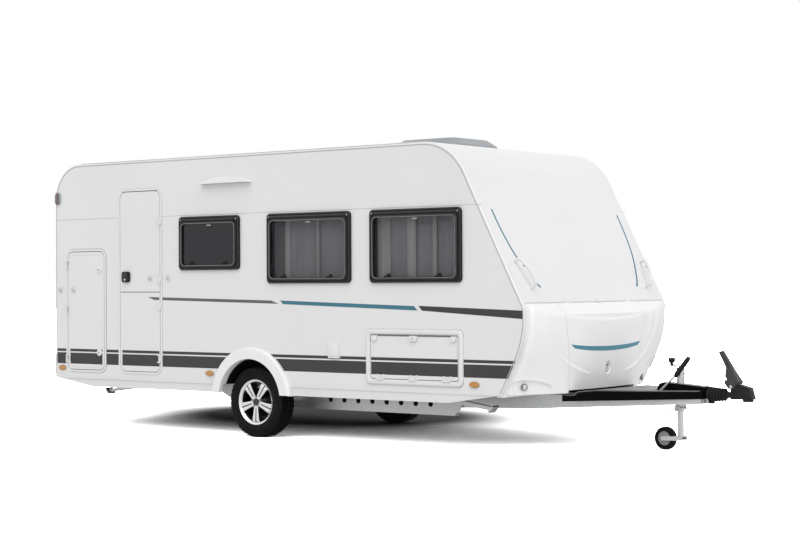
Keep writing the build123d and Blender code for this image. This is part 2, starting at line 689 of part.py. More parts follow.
# ---- roof hatch and vent ---------------------------------------------------------------------------
def hatch_ring(area, inset):
    """The low frame of a hatch: a ring standing on the roof and lining its hole."""
    s0, s1, y0, y1 = area
    outer = block(at(s0), at(s1), y0, y1, ROOF_TOP, ROOF_TOP + HATCH_FRAME)
    inner = block(at(s0 + inset + 12), at(s1 - inset - 12), y0 + inset + 12, y1 - inset - 12, ROOF_TOP - WALL, ROOF_TOP + 60)
    lining = block(at(s0 + inset + SEAT), at(s1 - inset - SEAT), y0 + inset + SEAT, y1 - inset - SEAT, ROOF_TOP - WALL, ROOF_TOP)
    pin_x = at(s1) + HATCH_PIN_OUT
    ring = outer + lining - inner
    for y in ((y0 + y1) / 2 - 120, (y0 + y1) / 2 + 120):
        ring += block(at(s1), pin_x, y - 15, y + 15, ROOF_TOP, ROOF_TOP + HATCH_FRAME)
        ring += rod((pin_x, y - 15, ROOF_TOP + HATCH_FRAME), (pin_x, y + 15, ROOF_TOP + HATCH_FRAME), 6)
        ring += rod((pin_x, y - 27, ROOF_TOP + HATCH_FRAME), (pin_x, y + 27, ROOF_TOP + HATCH_FRAME), 3)
    return ring


def hatch_dome(area, rise):
    """A hollow dome over a hatch, with hinge lugs at its front edge."""
    s0, s1, y0, y1 = area
    foot = ROOF_TOP + HATCH_FRAME + SEAT
    top = ROOF_TOP + rise
    x_mid, y_mid = at((s0 + s1) / 2), (y0 + y1) / 2
    length, width = s1 - s0, y1 - y0
    shells = []
    for inset, lift in ((0, 0), (5, -5)):
        sections = []
        for z, shrink in ((foot - (1 if inset else 0), 4), (foot + 0.35 * (top - foot), 12), (top + lift, 74)):
            plan = Pos(x_mid, y_mid) * RectangleRounded(length - 2 * (shrink + inset), width - 2 * (shrink + inset), 60)
            sections.append(Plane.XY.offset(z) * plan)
        shells.append(loft(sections, ruled=True))
    dome = shells[0] - shells[1]
    pin_x = at(s1) + HATCH_PIN_OUT
    z = ROOF_TOP + HATCH_FRAME
    for y in (y_mid - 120, y_mid + 120):
        for way in (-1, 1):
            low_y, high_y = sorted((y + way * 16, y + way * 26))
            lug = rod((pin_x, low_y, z), (pin_x, high_y, z), 6) + block(at(s1) - 9, pin_x, low_y, high_y, z + 1, z + 6)
            dome += lug - rod((pin_x, low_y - 1, z), (pin_x, high_y + 1, z), 3 + FIT)
    return dome


# ---- rear ------------------------------------------------------------------------------------------
def rear_bumper():
    """The moulding across the foot of the rear wall, with a flat field for the number plate."""
    low, high = WALL_FOOT, 660
    profile = face_of([(0, low), (0, high), (-12, high), (2 - REAR_PROUD, high - 60), (2 - REAR_PROUD, low + 20), (-30, low)])
    shape = side_slab(profile, -HALF + 2, HALF - 2)
    corner = [(at(1), HALF - 2), (at(-8), HALF - 4), (at(2 - REAR_PROUD), BUMPER_FLAT), (at(2 - REAR_PROUD), -BUMPER_FLAT), (at(-8), 4 - HALF), (at(1), 2 - HALF)]
    shape &= extrude(make_face(Polyline(*corner, close=True)), amount=900)
    for side in (-1, 1):
        for y, z, radius in REAR_LAMPS:
            shape -= rod((at(-30), side * y, z), (at(-90), side * y, z), radius + SEAT)
    return shape


REAR_LAMPS = [(900, 545, 48), (790, 545, 48), (680, 545, 42)]     # Y, Z and radius of each round lamp


def rear_lamps():
    pieces = []
    for side in (-1, 1):
        for y, z, radius in REAR_LAMPS:
            pieces.append(rod((at(-30), side * y, z), (at(-REAR_PROUD), side * y, z), radius))
        pieces.append(box_on_wall(6, 82, 2030, 2146, 12, side, 36))
    pieces.append(block(at(0), at(-12), -140, 140, 2035, 2065))
    return several(pieces)


# ---- chassis -----------------------------------------------------------------------------------------
def rail():
    """A chassis rail: a deep web with a flange, lower in front of the axle."""
    top = WALL_FOOT
    points = [(260, 350), (1700, 350), (1950, RAIL_FOOT), (ARM_ROOT + 30, RAIL_FOOT), (ARM_ROOT + 80, RAIL_FOOT + 48),
              (ARM_ROOT + 170, top), (260, top)]
    web = side_slab(face_of(points), -RAIL_Y - RAIL_THICK / 2, -RAIL_Y + RAIL_THICK / 2)
    for n in range(RAIL_HOLES):
        station = RAIL_HOLE_START + n * RAIL_HOLE_PITCH
        web -= side_slab(disc(station, 322, 24), -RAIL_Y - 10, -RAIL_Y + 10)
    flange = block(at(1950), at(ARM_ROOT + 30), -RAIL_Y, -RAIL_Y + RAIL_FLANGE, RAIL_FOOT, RAIL_FOOT + RAIL_THICK)
    rear_flange = block(at(260), at(1700), -RAIL_Y, -RAIL_Y + RAIL_FLANGE, 350, 350 + RAIL_THICK)
    top_flange = block(at(260), at(ARM_ROOT + 170), -RAIL_Y, -RAIL_Y + RAIL_FLANGE, top - RAIL_THICK, top)
    return web + flange + rear_flange + top_flange


def chassis():
    """Both rails, joined by cross members and the spare axle seats."""
    shape = rail()
    shape += mirrored(shape)
    for station, low, high in CROSS_MEMBERS:
        shape += block(at(station - 20), at(station + 20), -RAIL_Y, RAIL_Y, low, high)
    return shape


CROSS_MEMBERS = [(400, 380, 430), (3600, 380, 430)]     # station, low, high


def arm_y(station):
    """Y of a drawbar arm's middle at a station."""
    root = RAIL_Y - RAIL_THICK / 2 - ARM_WIDTH / 2 - SEAT
    return root + (station - ARM_ROOT) / (ARM_TIP - ARM_ROOT) * (ARM_TIP_Y - root)


def arm_section(station, low, high):
    plane = Plane(origin=(at(station), -arm_y(station), (low + high) / 2), x_dir=(0, 1, 0), z_dir=(1, 0, 0))
    return plane * Rectangle(ARM_WIDTH, high - low)


def drawbar():
    """The two arms of the A-frame, their cross plates and the seat of the overrun housing."""
    arm = loft([arm_section(ARM_ROOT, 300, WALL_FOOT - RAIL_THICK - 1), arm_section(4900, 306, 423), arm_section(ARM_TIP, 366, 406)], ruled=True)
    shape = arm + mirrored(arm)
    for station in (4420, 5300, JOCKEY - 90):
        half = arm_y(station)
        shape += block(at(station - 15), at(station + 15), -half, half, 385, 411)
    shape += block(at(ARM_TIP - 380), at(ARM_TIP + 10), -58, 58, 400, SEAT_PLATE_TOP)
    clamp = tube((at(JOCKEY), 0, 330), (at(JOCKEY), 0, 400), JOCKEY_OUTER + 12, JOCKEY_OUTER)
    shape -= rod((at(JOCKEY), 0, 300), (at(JOCKEY), 0, 450), JOCKEY_OUTER + 10)
    shape += clamp + block(at(JOCKEY - 95), at(JOCKEY - JOCKEY_OUTER - 6), -25, 25, 360, 399)
    return shape


def overrun_housing():
    """The fixed housing that the coupling's shaft slides in."""
    start = JOCKEY + JOCKEY_OUTER + 14
    shape = rod((at(start), 0, SHAFT_Z), (at(GAITER_REAR), 0, SHAFT_Z), SHAFT_RADIUS + 6)
    return shape & block(at(start), at(GAITER_REAR), -100, 100, SEAT_PLATE_TOP, 600)


def gaiter():
    """The bellows between housing and coupling, with ribs."""
    rear, front = GAITER_REAR, 6334
    ribs = 6
    pitch = (front - rear) / ribs
    points = [(at(rear), SHAFT_RADIUS)]
    for n in range(ribs):
        crest = GAITER_TOP - SHAFT_Z - 12 * n / ribs
        start = rear + n * pitch
        points += [(at(start), crest - 14), (at(start + pitch / 2), crest), (at(start + pitch) - 0.5, crest - 15)]
    points += [(at(front), SHAFT_RADIUS)]
    face = make_face(Polyline(*points, close=True))
    plane = Plane(origin=(0, 0, SHAFT_Z), x_dir=(1, 0, 0), z_dir=(0, -1, 0))
    return revolve(plane * face, axis=Axis((0, 0, SHAFT_Z), (1, 0, 0)))


def coupling_head():
    """The coupling: shaft, head with its ball cup, and the lug that carries the stabiliser lever."""
    shaft = rod((at(GAITER_REAR), 0, SHAFT_Z), (at(6400), 0, SHAFT_Z), SHAFT_RADIUS - SEAT)
    points = [(6377, 406), (6383, 436), (6426, 454), (6441, 523), (6535, 499), (6549, 442), (COUPLING_NOSE, 413)]
    head = side_slab(face_of(points), -HEAD_HALF, HEAD_HALF)
    head = fillet(head.edges().filter_by(Axis.Y), 6)
    cup = rod((at(BALL_STATION), 0, 392), (at(BALL_STATION), 0, 450), 42)
    cup += Pos(at(BALL_STATION), 0, 450) * Sphere(42)
    cup &= block(at(0), at(COUPLING_NOSE), -100, 100, 0, 600)
    socket = Pos(at(BALL_STATION), 0, BALL_Z) * Sphere(BALL_RADIUS) + rod((at(BALL_STATION), 0, 300), (at(BALL_STATION), 0, BALL_Z), BALL_RADIUS)
    lug_half = HEAD_HALF - 6
    lug = side_slab(disc(LEVER_STATION, LEVER_Z, 16), -lug_half, lug_half)
    lug += side_slab(face_of([(LEVER_STATION - 16, 450), (LEVER_STATION - 16, LEVER_Z), (LEVER_STATION + 10, LEVER_Z), (6425, 462), (6428, 440)]), -lug_half, lug_half)
    pin = rod((at(LEVER_STATION), -LEVER_HALF - 4, LEVER_Z), (at(LEVER_STATION), LEVER_HALF + 4, LEVER_Z), 7)
    return shaft + head + cup - socket + lug + pin


def stabiliser_lever():
    """The raised lever of the coupling's stabiliser: a wedge that tapers to its tip, with cheeks on both sides of the head."""
    outline = face_of([(6271, 764), (6306, 773), (6451, 537), (6432, 520), (6414, 484), (6350, 490), (6335, 517), (6336, 650)])
    down = radians(LEVER_TRAVEL)

    def above(height):
        """The part of the outline that stays above a height when the lever is pressed down."""
        reach = 500
        up = (sin(down), cos(down))
        low = (LEVER_STATION + (height - LEVER_Z) * up[0], LEVER_Z + (height - LEVER_Z) * up[1])
        ends = [(low[0] + way * reach * up[1], low[1] - way * reach * up[0]) for way in (-1, 1)]
        tops = [(s + up[0] * reach, z + up[1] * reach) for s, z in reversed(ends)]
        return outline & face_of(ends + tops)

    boss = disc(LEVER_STATION, LEVER_Z, 18)
    inner = HEAD_HALF + 5
    cheeks = above(GAITER_TOP - 25) + boss
    shape = side_slab(cheeks, -LEVER_HALF, -inner) + side_slab(cheeks, inner, LEVER_HALF)
    shape += side_slab(above(GAITER_TOP + 7) - disc(LEVER_STATION, LEVER_Z, 34), -LEVER_HALF, LEVER_HALF)
    taper = Plane.YZ * make_face(Polyline((-LEVER_HALF, 400), (-LEVER_HALF, 515), (-24, 640), (-13, 790), (13, 790), (24, 640), (LEVER_HALF, 515), (LEVER_HALF, 400), close=True))
    shape &= extrude(Pos(at(6200), 0, 0) * taper, amount=400)
    return shape - rod((at(LEVER_STATION), -60, LEVER_Z), (at(LEVER_STATION), 60, LEVER_Z), 7 + FIT)


def drawbar_cover():
    """The plastic cover over the drawbar, hollow below, with a raised hump over the overrun housing."""
    def bulk(inset):
        rear, front = 5184, 6170
        tip = COVER_TIP_Y - inset
        foot = 4 * inset
        plan_points = [(at(rear), -500 + inset), (at(front - inset), -tip), (at(front - inset), tip), (at(rear), 500 - inset)]
        side = face_of([(rear, 376 - foot), (rear, 426 - inset), (5270 + inset / 2, 428 - inset), (5297 + inset / 2, 453 - inset), (5421, 466 - inset),
                        (5736, 464 - inset), (front - inset, 468 - inset), (front - inset, 406 - foot)])
        plan = extrude(make_face(Polyline(*plan_points, close=True)), amount=700)
        shape = plan & side_slab(side, -600, 600)
        hump = face_of([(5756 + inset, 440 - inset), (5782 + inset, 509 - inset), (5814, 523 - inset), (front - inset, 497 - inset), (front - inset, 440 - inset)])
        return shape + side_slab(hump, -58 + inset, 58 - inset)

    shape = bulk(0) - bulk(COVER)
    shape -= rod((at(JOCKEY), 0, 300), (at(JOCKEY), 0, 600), JOCKEY_OUTER + 6)
    shape -= rod((at(6100), 0, SHAFT_Z), (at(6200), 0, SHAFT_Z), SHAFT_RADIUS + 6 + SEAT)
    shape -= block(at(BRAKE_STATION - 40), at(BRAKE_STATION + 170), BRAKE_Y - 20, BRAKE_Y + 20, 455, 560)
    return shape - side_slab(body_outline(), -INNER, INNER)


def brake_lever():
    """The handbrake lever beside the jockey wheel: a bent arm with a thicker grip."""
    pivot, elbow, tip = [(at(BRAKE_STATION + along), BRAKE_Y, BRAKE_Z + up) for along, up in ((0, 0), BRAKE_ELBOW, BRAKE_TIP)]
    shape = rod((pivot[0], BRAKE_Y - 10, BRAKE_Z), (pivot[0], BRAKE_Y + 10, BRAKE_Z), 18)
    shape += rod((pivot[0] + 12, BRAKE_Y, BRAKE_Z + 11), elbow, 9) + rod(elbow, tip, 15) + Pos(*elbow) * Sphere(15)
    return shape - rod((pivot[0], BRAKE_Y - 20, BRAKE_Z), (pivot[0], BRAKE_Y + 20, BRAKE_Z), 6 + FIT)


def brake_bracket():
    """The lever's pin, on a post from the housing's seat plate."""
    post = block(at(BRAKE_STATION - 14), at(BRAKE_STATION + 14), BRAKE_Y + 24, BRAKE_Y + 14, 400, BRAKE_Z + 12)
    post += block(at(BRAKE_STATION - 14), at(BRAKE_STATION + 14), -40, BRAKE_Y + 14, 400, SEAT_PLATE_TOP)
    return post + rod((at(BRAKE_STATION), BRAKE_Y + 24, BRAKE_Z), (at(BRAKE_STATION), BRAKE_Y - 12, BRAKE_Z), 6)


# ---- jockey wheel --------------------------------------------------------------------------------------
def jockey_tube():
    """Outer tube, clamped to the drawbar, with the winding head and crank."""
    shape = tube((at(JOCKEY), 0, JOCKEY_TUBE_FOOT), (at(JOCKEY), 0, 602), JOCKEY_OUTER, JOCKEY_INNER + SEAT)
    shape += rod((at(JOCKEY), 0, 590), (at(JOCKEY), 0, 622), JOCKEY_OUTER)
    shape += rod((at(JOCKEY), 0, 620), (at(JOCKEY), 0, 652), 8)
    shape += rod((at(JOCKEY), 0, 647), (at(JOCKEY - 76), 0, 652), 6)
    return shape + rod((at(JOCKEY - 76), 0, 644), (at(JOCKEY - 76), 0, 707), 10)


def jockey_leg():
    shape = rod((at(JOCKEY), 0, JOCKEY_LEG_FOOT), (at(JOCKEY), 0, 585 - JOCKEY_TRAVEL), JOCKEY_INNER)
    return shape - rod((at(JOCKEY), 0, JOCKEY_LEG_FOOT - 1), (at(JOCKEY), 0, JOCKEY_LEG_FOOT + 20), 8 + FIT)


def jockey_fork():
    """The trailing fork: a head plate with a pin up into the leg, and two level cheeks to the wheel."""
    axle = (JOCKEY - JOCKEY_TRAIL, JOCKEY_WHEEL_RADIUS)
    top = JOCKEY_LEG_FOOT - SEAT
    head = block(at(JOCKEY - 34), at(JOCKEY + 30), -43, 43, top - 8, top)
    head += rod((at(JOCKEY), 0, top - 4), (at(JOCKEY), 0, top + 19), 8)
    cheek = face_of([(JOCKEY + 30, top), (JOCKEY + 30, top - 34), (axle[0] - 20, axle[1] - 16), (axle[0] - 20, axle[1] + 16)])
    head += side_slab(cheek, -43, -38) + side_slab(cheek, 38, 43)
    return head + rod((at(axle[0]), -40, axle[1]), (at(axle[0]), 40, axle[1]), 8)


def jockey_wheel():
    axle = (at(JOCKEY - JOCKEY_TRAIL), JOCKEY_WHEEL_RADIUS)
    wheel = rod((axle[0], -30, axle[1]), (axle[0], 30, axle[1]), JOCKEY_WHEEL_RADIUS)
    wheel = fillet(wheel.edges().filter_by(GeomType.CIRCLE), 14)
    for side in (-1, 1):
        wheel -= tube((axle[0], side * 16, axle[1]), (axle[0], side * 31, axle[1]), 56, 20)
        wheel += rod((axle[0], side * 20, axle[1]), (axle[0], side * 35, axle[1]), 18)
    return wheel - rod((axle[0], -50, axle[1]), (axle[0], 50, axle[1]), 8 + FIT)


# ---- corner steadies --------------------------------------------------------------------------------------
# name, station of the pivot, +1 where the foot points forwards, side
STEADIES = [
    ("front_right", 4356, 1, -1),
    ("front_left", 4356, 1, 1),
    ("rear_right", 930, -1, -1),
    ("rear_left", 930, -1, 1),
]


def steady(pivot, way, side):
    """A folded corner steady: a channel with a foot at its end."""
    def point(along, height):
        return (pivot + way * along, height)
    web = face_of([point(-14, STEADY_Z + 12), point(-14, STEADY_Z - 14), point(STEADY_REACH - 20, STEADY_Z - 66),
                   point(STEADY_REACH - 6, STEADY_Z - 40), point(60, STEADY_Z + 14)])
    y = side * STEADY_Y
    shape = side_slab(web, y - 22, y - 17) + side_slab(web, y + 17, y + 22)
    floor_web = face_of([point(40, STEADY_Z - 10), point(40, STEADY_Z - 21), point(STEADY_REACH - 22, STEADY_Z - 66),
                         point(STEADY_REACH - 20, STEADY_Z - 58)])
    shape += side_slab(floor_web, y - 20, y + 20)
    foot = face_of([point(STEADY_REACH - 26, STEADY_Z - 72), point(STEADY_REACH - 16, STEADY_Z - 84),
                    point(STEADY_REACH + 24, STEADY_Z - 38), point(STEADY_REACH + 12, STEADY_Z - 28)])
    shape += side_slab(foot, y - 45, y + 45)
    return shape - rod((at(pivot), y - 30, STEADY_Z), (at(pivot), y + 30, STEADY_Z), 8 + FIT)


def steady_brackets():
    """Under the floor: a plate, a tongue between the steady's cheeks, and its pin."""
    pieces = []
    for _, pivot, way, side in STEADIES:
        y = side * STEADY_Y
        plate = block(at(pivot - 50), at(pivot + 50), y - 40, y + 40, WALL_FOOT - 6, WALL_FOOT)
        tongue = block(at(pivot - 14), at(pivot + 14), y - 11, y + 11, STEADY_Z - 13, WALL_FOOT - 3)
        pin = rod((at(pivot), y - 24, STEADY_Z), (at(pivot), y + 24, STEADY_Z), 8)
        pieces.append(plate + tongue + pin)
    return several(pieces)


# ---- axle and wheels ------------------------------------------------------------------------------------------
def axle_tube():
    """The axle's cross tube between and through the rails, ahead of the wheels."""
    return tube((at(AXLE + ARM_LEAD), -ARM_INNER, AXLE_TUBE_Z), (at(AXLE + ARM_LEAD), ARM_INNER, AXLE_TUBE_Z), AXLE_TUBE, AXLE_TUBE - 8)


def trailing_arm():
    """A trailing arm from the cross tube back to the wheel, with stub axle and brake plate."""
    y0, y1 = -ARM_OUTER, -ARM_INNER
    arm = side_slab(disc(AXLE + ARM_LEAD, AXLE_TUBE_Z, 48) + disc(AXLE, TYRE_RADIUS, 40)
                    + face_of([(AXLE + ARM_LEAD, AXLE_TUBE_Z + 44), (AXLE + ARM_LEAD, AXLE_TUBE_Z - 44), (AXLE, TYRE_RADIUS - 38), (AXLE, TYRE_RADIUS + 38)]),
                    y0, y1)
    plate = rod((at(AXLE), y0, TYRE_RADIUS), (at(AXLE), y0 - 12, TYRE_RADIUS), 120)
    stub = rod((at(AXLE), y0, TYRE_RADIUS), (at(AXLE), -WHEEL_Y - 20, TYRE_RADIUS), STUB)
    inner_pin = rod((at(AXLE + ARM_LEAD), y1 - 1, AXLE_TUBE_Z), (at(AXLE + ARM_LEAD), y1 + 60, AXLE_TUBE_Z), AXLE_TUBE - 8 - SEAT)
    return arm + plate + stub + inner_pin


def wheel_profile(points, side):
    """Spins a profile given as (distance outwards from the tyre's middle, radius)."""
    corners = [(outward, radius) for outward, radius in points]
    face = make_face(Polyline(*corners, close=True))
    plane = Plane(origin=(at(AXLE), side * WHEEL_Y, TYRE_RADIUS), x_dir=(0, side, 0), z_dir=(side, 0, 0))
    return revolve(plane * face, axis=Axis((at(AXLE), 0, TYRE_RADIUS), (0, 1, 0)))


def tyre(side):
    half = TYRE_WIDTH / 2
    points = [(-half + 16, RIM_SEAT), (-half + 16, RIM_SEAT + 13), (-half, RIM_SEAT + 32), (-half, RIM_SEAT + 74), (-half + 12, TYRE_RADIUS - 12), (-half + 32, TYRE_RADIUS),
              (half - 32, TYRE_RADIUS), (half - 12, TYRE_RADIUS - 12), (half, RIM_SEAT + 74), (half, RIM_SEAT + 32),
              (half - 16, RIM_SEAT + 13), (half - 16, RIM_SEAT)]
    return wheel_profile(points, side)


def alloy_wheel(side):
    """Rim, five twin spokes, hub and brake drum."""
    half = TYRE_WIDTH / 2
    lip = half - 8
    rim = wheel_profile([(-lip, RIM_SEAT - 12), (-lip, RIM_SEAT + 12), (-half + 15, RIM_SEAT + 12), (-half + 15, RIM_SEAT - SEAT), (half - 15, RIM_SEAT - SEAT),
                         (half - 15, RIM_SEAT + 12), (lip, RIM_SEAT + 12), (lip, RIM_SEAT - 6), (half - 30, RIM_SEAT - 12)], side)
    hub = wheel_profile([(16, STUB + FIT), (16, 66), (half - 34, 66), (half - 30, 34), (half - 30, 0), (half - 42, 0), (half - 42, STUB + FIT)], side)
    drum = wheel_profile([(-52, STUB + FIT), (-52, 122), (10, 122), (16, 100), (16, STUB + FIT)], side)
    shape = rim + hub + drum
    plane = Plane(origin=(at(AXLE), side * (WHEEL_Y + half - 52), TYRE_RADIUS), x_dir=(1, 0, 0), z_dir=(0, side, 0))
    for n in range(SPOKES):
        turn = 270 + 360 * n / SPOKES
        for lean in (-1, 1):
            bar = Rot(0, 0, turn + lean * 9) * Pos(111, 0) * Rectangle(118, 24)
            shape += extrude(plane * bar, amount=20)
    return shape


# ---- assembly ----------------------------------------------------------------------------------------------------
def build_nodes():
    """Every node by name."""
    nodes = {}
    right = [window_hole(*place[1:]) for place in RIGHT_WINDOWS] + [opening(place) for place in (ENTRANCE, SERVICE, LOCKER)]
    left = [window_hole(*place[1:]) for place in LEFT_WINDOWS] + [opening(CASSETTE)]
    nodes["side_wall_right"] = side_wall(-1, right)
    nodes["side_wall_left"] = side_wall(1, left)
    nodes["rear_wall"] = rear_wall()
    nodes["roof"] = roof()
    nodes["front_panel"] = front_panel()
    nodes["floor"] = floor_panel()
    nodes["wheel_wells"] = wheel_wells()
    nodes["locker_bulkhead"] = locker_bulkhead()
    moulding, lid = build_moulding()
    nodes["front_moulding"] = moulding
    nodes["gas_locker_lid"] = gas_locker_lid(lid)

    nodes["door_frames"] = several([opening_frame(place, -1) for place in (ENTRANCE, SERVICE, LOCKER)] + [opening_frame(CASSETTE, 1)])
    nodes["hinge_brackets"] = several(fixed_hinges())
    split = LEAF_GAP / 2
    nodes["entrance_door_upper"] = entrance_leaf(ENTRANCE_SPLIT + split, ENTRANCE[3]) + catch(1260, CATCH_ENTRANCE_Z, -HALF - FRAME_PROUD)
    nodes["entrance_door_lower"] = entrance_leaf(ENTRANCE[2], ENTRANCE_SPLIT - split)
    handle = side_slab(rounded(910, 1000, 1313, 1408, 22), -HALF - FRAME_PROUD, -HALF - FRAME_PROUD - HANDLE_PROUD)
    nodes["entrance_handle"] = handle
    nodes["service_door"] = service_door()
    locks = [rod((at(600), -HALF - FRAME_PROUD, z), (at(600), -HALF - FRAME_PROUD - 10, z), 30) for z in (1430, 680)]
    nodes["service_locks"] = several(locks)
    nodes["storage_flap"] = flap(LOCKER, -1, LOCKER_HINGES)
    nodes["flap_latches"] = several([side_slab(rounded(s - 22, s + 22, 850, 878, 8), -HALF - FRAME_PROUD, -HALF - FRAME_PROUD - 12)
                                     for s in (3790, 4178, 4566)])
    nodes["cassette_flap"] = flap(CASSETTE, 1, CASSETTE_HINGES)

    windows = [side_window(place, -1) for place in RIGHT_WINDOWS] + [side_window(place, 1) for place in LEFT_WINDOWS] + [rear_window()]
    nodes["window_frames"] = several([frame for frame, _ in windows])
    nodes["window_panes"] = several([pane for _, pane in windows])
    nodes["curtains"] = all_curtains()

    nodes["wheel_arch_trims"] = arch_trim()
    nodes["side_skirts"] = skirt()
    nodes["awning_lamp"] = awning_lamp()
    nodes["grab_handles"] = several(grab_handles())
    fittings = [box_on_wall(3320, 3430, 690, 830, 28, -1), box_on_wall(VENT_REAR, VENT_REAR + VENT_WIDTH, 620, 860, 9, 1), box_on_wall(VENT_REAR, VENT_REAR + VENT_WIDTH, 1180, 1420, 9, 1),
                box_on_wall(1050, 1190, 620, 760, 14, 1), catch(1480, CATCH_ENTRANCE_Z, -HALF), catch(SERVICE[0] - 90, CATCH_SERVICE_Z, -HALF)]
    nodes["side_fittings"] = several(fittings)
    markers = [oval(s, z, 90, 45, 14, side) for side in (-1, 1) for s, z in SIDE_MARKERS]
    nodes["side_markers"] = several(markers)

    nodes["roof_vent_frames"] = several([hatch_ring(HATCH, 70), hatch_ring(VENT, 60)])
    nodes["roof_hatch_dome"] = hatch_dome(HATCH, HATCH_RISE)
    nodes["roof_vent_dome"] = hatch_dome(VENT, VENT_RISE)

    nodes["rear_bumper"] = rear_bumper()
    nodes["rear_lamps"] = rear_lamps()

    nodes["chassis_rails"] = chassis() - axle_hole()
    nodes["drawbar"] = drawbar() + brake_bracket()
    nodes["axle_tube"] = axle_tube()
    nodes["trailing_arms"] = both(trailing_arm())
    for name, side in (("right", -1), ("left", 1)):
        nodes[f"tyre_{name}"] = tyre(side)
        nodes[f"wheel_{name}"] = alloy_wheel(side)
    nodes["overrun_housing"] = overrun_housing()
    nodes["shaft_gaiter"] = gaiter()
    nodes["coupling_head"] = coupling_head()
    nodes["stabiliser_lever"] = stabiliser_lever()
    nodes["drawbar_cover"] = drawbar_cover()
    nodes["handbrake_lever"] = brake_lever()
    nodes["jockey_tube"] = jockey_tube()
    nodes["jockey_leg"] = jockey_leg()
    nodes["jockey_fork"] = jockey_fork()
    nodes["jockey_wheel"] = jockey_wheel()
    for name, pivot, way, side in STEADIES:
        nodes[f"steady_{name}"] = steady(pivot, way, side)
    nodes["steady_brackets"] = steady_brackets()
    return nodes


def axle_hole():
    """The holes in the rails that the axle tube passes through."""
    return rod((at(AXLE + ARM_LEAD), -HALF, AXLE_TUBE_Z), (at(AXLE + ARM_LEAD), HALF, AXLE_TUBE_Z), AXLE_TUBE)


if __name__ == "__main__":
    os.makedirs("parts", exist_ok=True)
    for name, shape in build_nodes().items():
        export_step(shape, f"parts/{name}.step")
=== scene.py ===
"""Looks of the travel caravan: finishes, trims, stripes, windows, wheels, lamps, lights and camera.

Lengths are in metres. A station is the distance forwards from the rear wall's outer face, as in the
model's source. The right side is the one with the door, at negative Y.
"""
import math

import bmesh
import bpy
from mathutils import Matrix, Vector
from mathutils.bvhtree import BVHTree


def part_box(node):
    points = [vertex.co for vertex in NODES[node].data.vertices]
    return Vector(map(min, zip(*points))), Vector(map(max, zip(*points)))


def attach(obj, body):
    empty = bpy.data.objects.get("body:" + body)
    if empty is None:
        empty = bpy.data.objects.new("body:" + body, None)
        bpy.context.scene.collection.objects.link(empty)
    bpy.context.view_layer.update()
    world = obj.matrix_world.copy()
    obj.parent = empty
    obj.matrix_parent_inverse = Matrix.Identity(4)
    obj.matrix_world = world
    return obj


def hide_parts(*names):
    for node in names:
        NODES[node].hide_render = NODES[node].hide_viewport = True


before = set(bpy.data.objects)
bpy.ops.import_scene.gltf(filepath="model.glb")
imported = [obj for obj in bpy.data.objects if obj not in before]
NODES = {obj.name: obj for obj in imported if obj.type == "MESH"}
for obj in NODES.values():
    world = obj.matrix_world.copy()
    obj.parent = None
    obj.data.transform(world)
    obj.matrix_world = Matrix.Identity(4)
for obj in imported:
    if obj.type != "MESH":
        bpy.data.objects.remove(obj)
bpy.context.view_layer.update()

# ---- places read from the frame, and sizes -------------------------------------------------------
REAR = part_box("rear_wall")[0].x                 # X of the rear wall's outer face
WALL_Y = -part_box("side_wall_right")[0].y        # the side walls' outer faces
WHEEL_X = sum(v.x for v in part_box("wheel_right")) / 2
WHEEL_Z = sum(v.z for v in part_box("wheel_right")) / 2
SEAM_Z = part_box("front_panel")[0].z             # the joint between front panel and moulding
ROOF_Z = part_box("side_wall_right")[1].z
SIDES = {"right": -1, "left": 1}                # the sign of Y on each side
STICKER = 0.0006                                # thickness of a vinyl stripe
LEAF = 0.005                                    # door leaves stand this far out of the wall


def X(station):
    """X of a station."""
    return REAR + station


# ---- node helpers for materials ------------------------------------------------------------------
class Maker:
    """Builds a material's nodes with few words."""

    def __init__(self, name):
        self.material = bpy.data.materials.new(name)
        self.material.use_nodes = True
        self.tree = self.material.node_tree
        self.bsdf = self.tree.nodes["Principled BSDF"]
        self.coords = None

    def node(self, kind, **values):
        made = self.tree.nodes.new(kind)
        for key, value in values.items():
            if key in made.inputs:
                made.inputs[key].default_value = value
            else:
                setattr(made, key, value)
        return made

    def link(self, source, target):
        self.tree.links.new(source, target)

    def place(self, stretch=(1, 1, 1)):
        """Object coordinates, stretched along the axes."""
        if self.coords is None:
            self.coords = self.node("ShaderNodeTexCoord")
        mapping = self.node("ShaderNodeMapping")
        mapping.inputs["Scale"].default_value = stretch
        self.link(self.coords.outputs["Object"], mapping.inputs["Vector"])
        return mapping.outputs["Vector"]

    def noise(self, scale, detail=3.0, stretch=(1, 1, 1)):
        made = self.node("ShaderNodeTexNoise", Scale=scale, Detail=detail)
        self.link(self.place(stretch), made.inputs["Vector"])
        return made.outputs["Fac"]

    def ramp(self, source, stops):
        made = self.node("ShaderNodeValToRGB")
        ramp = made.color_ramp
        while len(ramp.elements) < len(stops):
            ramp.elements.new(0.5)
        for element, (position, color) in zip(ramp.elements, stops):
            element.position = position
            element.color = (*color, 1) if len(color) == 3 else color
        self.link(source, made.inputs["Fac"])
        return made.outputs["Color"]

    def color(self, source):
        self.link(source, self.bsdf.inputs["Base Color"])

    def rough(self, source, low, high):
        made = self.node("ShaderNodeMapRange")
        made.inputs["To Min"].default_value = low
        made.inputs["To Max"].default_value = high
        self.link(source, made.inputs["Value"])
        self.link(made.outputs["Result"], self.bsdf.inputs["Roughness"])

    def bump(self, source, strength, distance):
        made = self.node("ShaderNodeBump", Strength=strength, Distance=distance)
        self.link(source, made.inputs["Height"])
        self.link(made.outputs["Normal"], self.bsdf.inputs["Normal"])

    def set(self, **values):
        for key, value in values.items():
            self.bsdf.inputs[key.replace("_", " ")].default_value = value


def grey(value):
    return (value, value, value)


def times(color, factor):
    return tuple(min(1, c * factor) for c in color)


